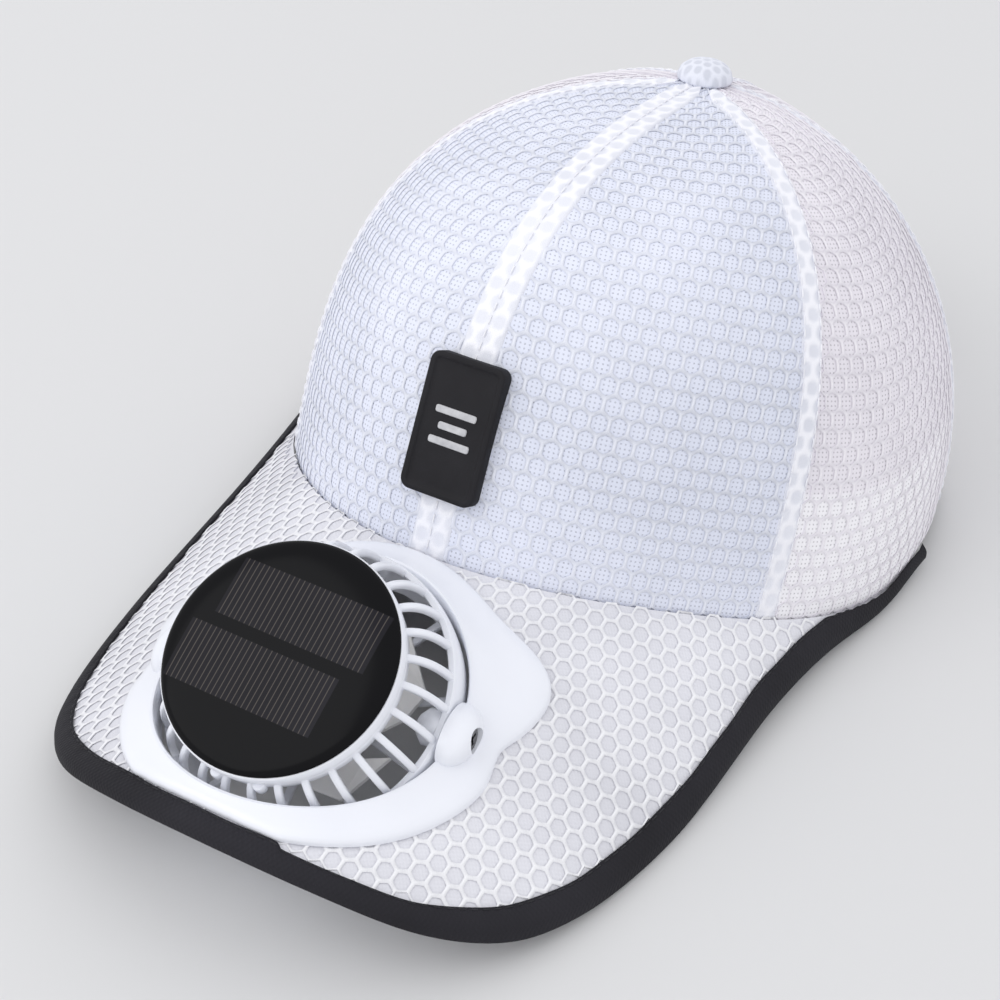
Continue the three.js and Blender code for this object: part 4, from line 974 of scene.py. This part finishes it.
stages = [seat_under(on_patch(patch_width, patch_height, patch_corner, 0.0))]
stages.insert(0, patch_centre + (stages[0] - patch_centre) * 0.5 + patch_out * 0.4)
for inset, rise in ((0.0, 0.55), (0.12, 0.85), (0.4, 1.0), (1.0, 1.0), (1.3, 0.8), (1.5, 0.25), (1.7, 0.02),
                    (2.6, 0.0), (5.0, 0.0), (8.0, 0.0)):
    stages.append(on_patch(patch_width - 2 * inset, patch_height - 2 * inset, max(patch_corner - inset, 0.35),
                           patch_top + rim_height * rise))
points, faces = swept(np.array(stages))
rubber = plain_finish("dark rubber", 0.6, 90.0, tone(30, 29, 33), tone(22, 21, 25), (1500.0, 3.0, 0.35, 0.0001),
                      Specular_IOR_Level=0.25)
piece("front_badge", points, faces, rubber, ["front_patch"], sharp=50)
bar_ink = plain_finish("light print", 0.6, 600.0, tone(206, 206, 208), tone(182, 182, 186))
points, faces = gathered([
    swept(np.array([
        on_patch(length - 2 * inset, 1.6 - 2 * inset, 0.5 - inset / 2, patch_top + rise, above, 5)
        for inset, rise in ((0.0, -0.2), (0.0, 0.22), (0.1, 0.32), (0.25, 0.35))
    ])) for above, length in zip((3.4, 0.0, -3.4), (10.0, 7.0, 10.0))
])
piece("badge_bars", points, faces, bar_ink, sharp=50)

# The fan frame: a white moulded ring with an ear at each side, let into the brim's hole and held
# by a lip under it. Its two bosses carry the pivot screws.
plastic = plain_finish("white plastic", 0.28, 18.0, tone(243, 245, 251), tone(234, 236, 243),
                       (2200.0, 4.0, 0.12, 0.00006), Coat_Weight=0.25, Coat_Roughness=0.2)


def unit_point(radius, height):
    """The places over the brim at a distance from the fan unit's middle, one for each of the turns"""
    x, y = radius * np.cos(turns), radius * np.sin(turns)
    height = height + 0 * x
    guess = in_unit(np.stack([x, y, 0 * x], -1))[..., :2]
    for _ in range(8):
        found = (brim_point(guess, height) - unit_centre) @ unit_axes
        miss = np.stack([x - found[..., 0], y - found[..., 1], 0 * x], -1) @ unit_axes.T
        guess = guess + miss[..., :2]
    return brim_point(guess, height)


turns = np.linspace(0, 2 * math.pi, 180, endpoint=False)
outer = frame_radius(turns - math.radians(frame_twist))
tape_loop = np.concatenate([edge + inward * (deep + 0.25)[:, None], seat_line])
for _ in range(60):
    outer = np.where(within(unit_point(outer, 0.3)[:, :2], tape_loop), outer, outer - 0.12)
ring_low, ring_high, ring_foot, lip_under, lip_out = 0.8, 3.4, 2.2, -2.4, 4.5
rise = ring_low + (ring_high - ring_low) * (1 + np.sin(turns)) / 2
profile = [(outer - 0.2, 0.3), (outer, 0.45), (outer, 1.1), (outer - 0.25, 1.55), (outer - 0.8, 1.95)]
for out, up in ((0.72, 0.1), (0.6, 0.2), (0.45, 0.38), (0.3, 0.6), (0.16, 0.86)):
    profile.append((bore_radius + (outer - bore_radius) * out, ring_foot + rise * up))
profile += [(bore_radius + out, ring_foot + rise - down) for out, down in ((0.9, 0), (0.35, 0.15), (0.05, 0.6))]
profile += [(bore_radius + out, height) for out, height in (
    (0, 0.0), (0, lip_under - 1.5), (0.3, lip_under - 1.8), (lip_out - 0.3, lip_under - 1.8),
    (lip_out, lip_under - 1.5), (lip_out, lip_under), (collar_wall, lip_under), (collar_wall, 0.3))]
profile.append((bore_radius + (outer - bore_radius) * 0.5, 0.3))
points, faces = swept(np.stack([unit_point(radius, height) for radius, height in profile], 1), closed=True)
shell = piece("unit_frame", points, faces, plastic, ["fan_frame"], sharp=50)


def along_x(shape, side, width=1.0):
    """A turned body laid along X, to one side of the unit, and how wide it is there"""
    points, faces = shape
    return points[:, [2, 0, 1]] * [side, width, 1], faces


def bar(radius, start, stop, sides=40, bevel=0.4):
    return turned_shape([(0, start), (radius - bevel, start), (radius, start + bevel), (radius, stop - bevel),
                         (radius - bevel, stop), (0, stop)], sides)


boss_radius, boss_reach, boss_width, boss_sunk, screw_bore, screw_seat = 5.0, 5.2, 1.5, 0.6, 1.7, 2.75
flank = [(boss_radius * math.sqrt(1 - share ** 2), bore_radius + 0.4 + boss_reach * share)
         for share in np.linspace(0, 1, 16)]
foot = bore_radius - boss_sunk
for side in (1, -1):
    for operation, (points, faces) in (
        ("UNION", along_x(turned_shape([(0, foot), (boss_radius, foot)] + flank, 48), side, boss_width)),
        ("DIFFERENCE", along_x(bar(screw_bore, 20, bore_radius + 30, 24, 0), side)),
        ("DIFFERENCE", along_x(bar(screw_seat, bore_radius + 2.4, bore_radius + 30, 24, 0), side)),
    ):
        cut(shell, [(in_unit(points), faces)], operation)

# The fan head's cage: a white moulded ring in the frame's bore, ribs that arch in to a collar and
# the cup that holds the solar disc, and a guard below. It tilts on the pivot screws.
head_tilt, rib_count, spoke_count = 22.0, 28, 10
band_radius, band_wall, band_top, band_bottom, guard_radius, cup_radius = 31.9, 1.6, 3.9, 9.0, 9.0, 25.2


def in_head(points):
    """The cap's frame from the fan head's, which is the unit's tilted forward about the pivots"""
    return in_unit(np.asarray(points, float) @ turn_about("X", head_tilt).T)


outside = [(math.sqrt(band_radius ** 2 - h ** 2), h) for h in np.linspace(-band_bottom, band_top, 12)]
inside = [(r - band_wall, h) for r, h in outside[::-1]]
lip = outside[-1][0]
crest = [(lip, band_top - 0.1), (lip - 0.25, band_top + 0.25), (lip - band_wall + 0.25, band_top + 0.25),
         (lip - band_wall, band_top - 0.1)]
cup = [(0, 18), (23.6, 18), (23.6, 14.8), (23.8, 14.6), (25.0, 14.6), (25.2, 14.8), (25.2, 16.6), (25.1, 17),
       (25.3, 17.3), (25.6, 17.8), (25.6, 18.1), (25.55, 20.0), (25.4, 20.25), (25.2, 20.3), (24.9, 20.25),
       (24.75, 20.1), (24.75, 19), (0, 19)]
guard = [(0, -9), (guard_radius - 0.2, -9), (guard_radius, -8.8), (guard_radius, -7.8),
         (guard_radius - 0.2, -7.6), (0, -7.6)]
parts = [turned_shape(outside[:-1] + crest + inside[1:], 144), turned_shape(cup, 144), turned_shape(guard, 64)]
rib_start, rib_bend, rib_end = np.array([(30.7, 0, 3.0), (29.3, 0, 13.6), (24.4, 0, 15.65)])
t = np.linspace(0, 1, 13)[:, None]
curve = rib_start * (1 - t) ** 2 + 2 * rib_bend * t * (1 - t) + rib_end * t ** 2
slope = 2 * (rib_bend - rib_start) * (1 - t) + 2 * (rib_end - rib_bend) * t
slope /= np.linalg.norm(slope, axis=1)[:, None]
out = np.column_stack([slope[:, 2], 0 * slope[:, 0], -slope[:, 0]])
squared = lambda value: math.copysign(abs(value) ** 0.55, value)
loop = [(0.8 * squared(math.cos(a)), 0.85 * squared(math.sin(a)))
        for a in np.linspace(0, 2 * math.pi, 12, endpoint=False) + math.pi / 12]
points, faces = swept(np.stack([curve + out * depth + [0, across, 0] for across, depth in loop], 1))
parts += [(points @ turn_about("Z", (i + 0.5) * 360 / rib_count).T, faces) for i in range(rib_count)]
foot = math.sqrt(band_radius ** 2 - band_bottom ** 2) - band_wall / 2
bar_section = [(-0.8, -8.8), (-0.6, -9), (0.6, -9), (0.8, -8.8), (0.8, -7.8), (0.6, -7.6), (-0.6, -7.6),
               (-0.8, -7.8)]
points, faces = swept(np.array([[(x, y, z) for y, z in bar_section] for x in (8.0, 12.0, 18.0, 24.0, foot)]))
parts += [(points @ turn_about("Z", (i + 0.5) * 360 / spoke_count).T, faces) for i in range(spoke_count)]
for side in (1, -1):
    parts.append(along_x(bar(4.0, 25.1, band_radius, 40, 1.6), side))
    turn = math.radians(-90 + side * 11)
    tab, faces = turned_shape([(0, -1.2), (1.2, -1.2), (1.4, -1.0), (1.4, 1.0), (1.2, 1.2), (0, 1.2)], 24)
    parts.append((tab + [cup_radius * math.cos(turn), cup_radius * math.sin(turn), 15.4], faces))
points, faces = gathered(parts)
piece("head_cage", in_head(points), faces, plastic, ["fan_cage"], sharp=45, body="fan_head")

# The solar disc: dark cells in two strips, printed with fine silver fingers, cast in clear resin
# with a domed glossy edge, and glued in the cage's cup.
solar_low, solar_edge, solar_high, cell_turn, finger_pitch = 19.3, 20.5, 21.9, 6.4, 1.25
strip_half_length, strip_half_width = 17.9, 6.45
profile = [(0, solar_high)]
for r in np.linspace(0.06, 1, 34) ** 0.6:
    profile.append((cup_radius * r, solar_edge + (solar_high - solar_edge) * max(0.0, 1 - r ** 9) ** 0.5))
profile += [(cup_radius - 0.15, 20.33), (24.6, 20.33), (24.6, solar_low), (0, solar_low)]
points, faces = turned_shape(profile, 144)
solar, tree, sockets = finish("solar cells", 0.16, Specular_IOR_Level=0.08)
axes = add(tree, "SeparateXYZ", cloth_place(tree)).outputs


def inside_span(value, middle, half, soft=0.08):
    far = maths(tree, "ABSOLUTE", maths(tree, "SUBTRACT", value, middle))
    return add(tree, "MapRange", far, half + soft, half - soft).outputs[0]


strips = []
for x, y in ((0.7, 9.4), (-3.1, -6.3)):
    spans = inside_span(axes[0], x, strip_half_length), inside_span(axes[1], y, strip_half_width)
    strips.append(maths(tree, "MULTIPLY", *spans))
cell = maths(tree, "ADD", *strips)
finger = add(tree, "MapRange", maths(tree, "PINGPONG", axes[0], finger_pitch / 2), 0.13, 0.05).outputs[0]
cells_on_black = mixed(tree, cell, tone(16, 16, 18), shaded(tree, 30.0, tone(38, 37, 42), tone(28, 27, 31)))
fingered = mixed(tree, maths(tree, "MULTIPLY", cell, finger), cells_on_black, tone(86, 81, 77))
feed(tree, sockets["Base Color"], fingered)
piece("solar_disc", in_head(points), faces, solar, ["solar_panel"],
      {"cloth_place": points @ turn_about("Z", cell_turn).T}, body="fan_head")

# The pivot screws, the motor and the impeller keep their own shapes: bright pan-head screws, a
# small can motor and five swept white blades, all seen only through the cage.
steel = plain_finish("screw steel", 0.35, 800.0, tone(150, 150, 152), tone(96, 96, 98), Metallic=1.0)
can = plain_finish("motor can", 0.4, 300.0, tone(176, 176, 178), tone(140, 140, 142), Metallic=1.0)
blade = plain_finish("impeller plastic", 0.45, 60.0, tone(250, 249, 247), tone(240, 238, 235))
for node, material in (
    ("pivot_screw_left", steel), ("pivot_screw_right", steel), ("fan_motor", can), ("impeller", blade),
):
    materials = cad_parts[node].data.materials
    materials.clear()
    materials.append(material)

# The studio: a wide pale floor, a soft sky all round, one large soft light from the front left,
# and the camera at the photograph's angle.
floor_radius, floor_sides = 6.0, 96
floor_mesh = bpy.data.meshes.new("studio_floor")
turns = np.linspace(0, 2 * math.pi, floor_sides, endpoint=False)
floor_mesh.from_pydata([(floor_radius * math.cos(t), floor_radius * math.sin(t), 0) for t in turns], [],
                       [list(range(floor_sides))])
placed("studio_floor", floor_mesh)
floor_mesh.materials.append(plain_finish("studio paper", 0.9, 1.0, tone(219, 219, 219), tone(217, 217, 217)))

world = bpy.data.worlds.new("studio")
bpy.context.scene.world = world
world.use_nodes = True
sky = world.node_tree.nodes["Background"].inputs
sky["Color"].default_value, sky["Strength"].default_value = (0.97, 0.975, 1.0, 1.0), 1.0
key = bpy.data.lights.new("key_light", "AREA")
key.energy, key.size = 5.0, 1.1
key_light = placed("key_light", key)
key_light.location = (-0.75, -0.9, 1.15)
key_light.rotation_euler = (Vector((0, -0.05, 0.05)) - key_light.location).to_track_quat("-Z", "Y").to_euler()

view_side, view_up, view_roll = math.radians(29.5435), math.radians(38.1186), math.radians(0.761)
right = Vector((math.cos(view_side), math.sin(view_side), 0))
back = Vector((right.y * math.cos(view_up), -right.x * math.cos(view_up), math.sin(view_up)))
up = back.cross(right)
across = right * math.cos(view_roll) + up * math.sin(view_roll)
upward = up * math.cos(view_roll) - right * math.sin(view_roll)
camera_data = bpy.data.cameras.new("photo_view")
camera_data.lens, camera_data.sensor_width = 72.464, 36.0
camera = placed("photo_view", camera_data)
camera.matrix_world = Matrix((across, upward, back)).transposed().to_4x4()
camera.location = (0.180954, -0.340544, 0.317779)
bpy.context.scene.camera = camera
bpy.context.scene.view_settings.view_transform = "Standard"
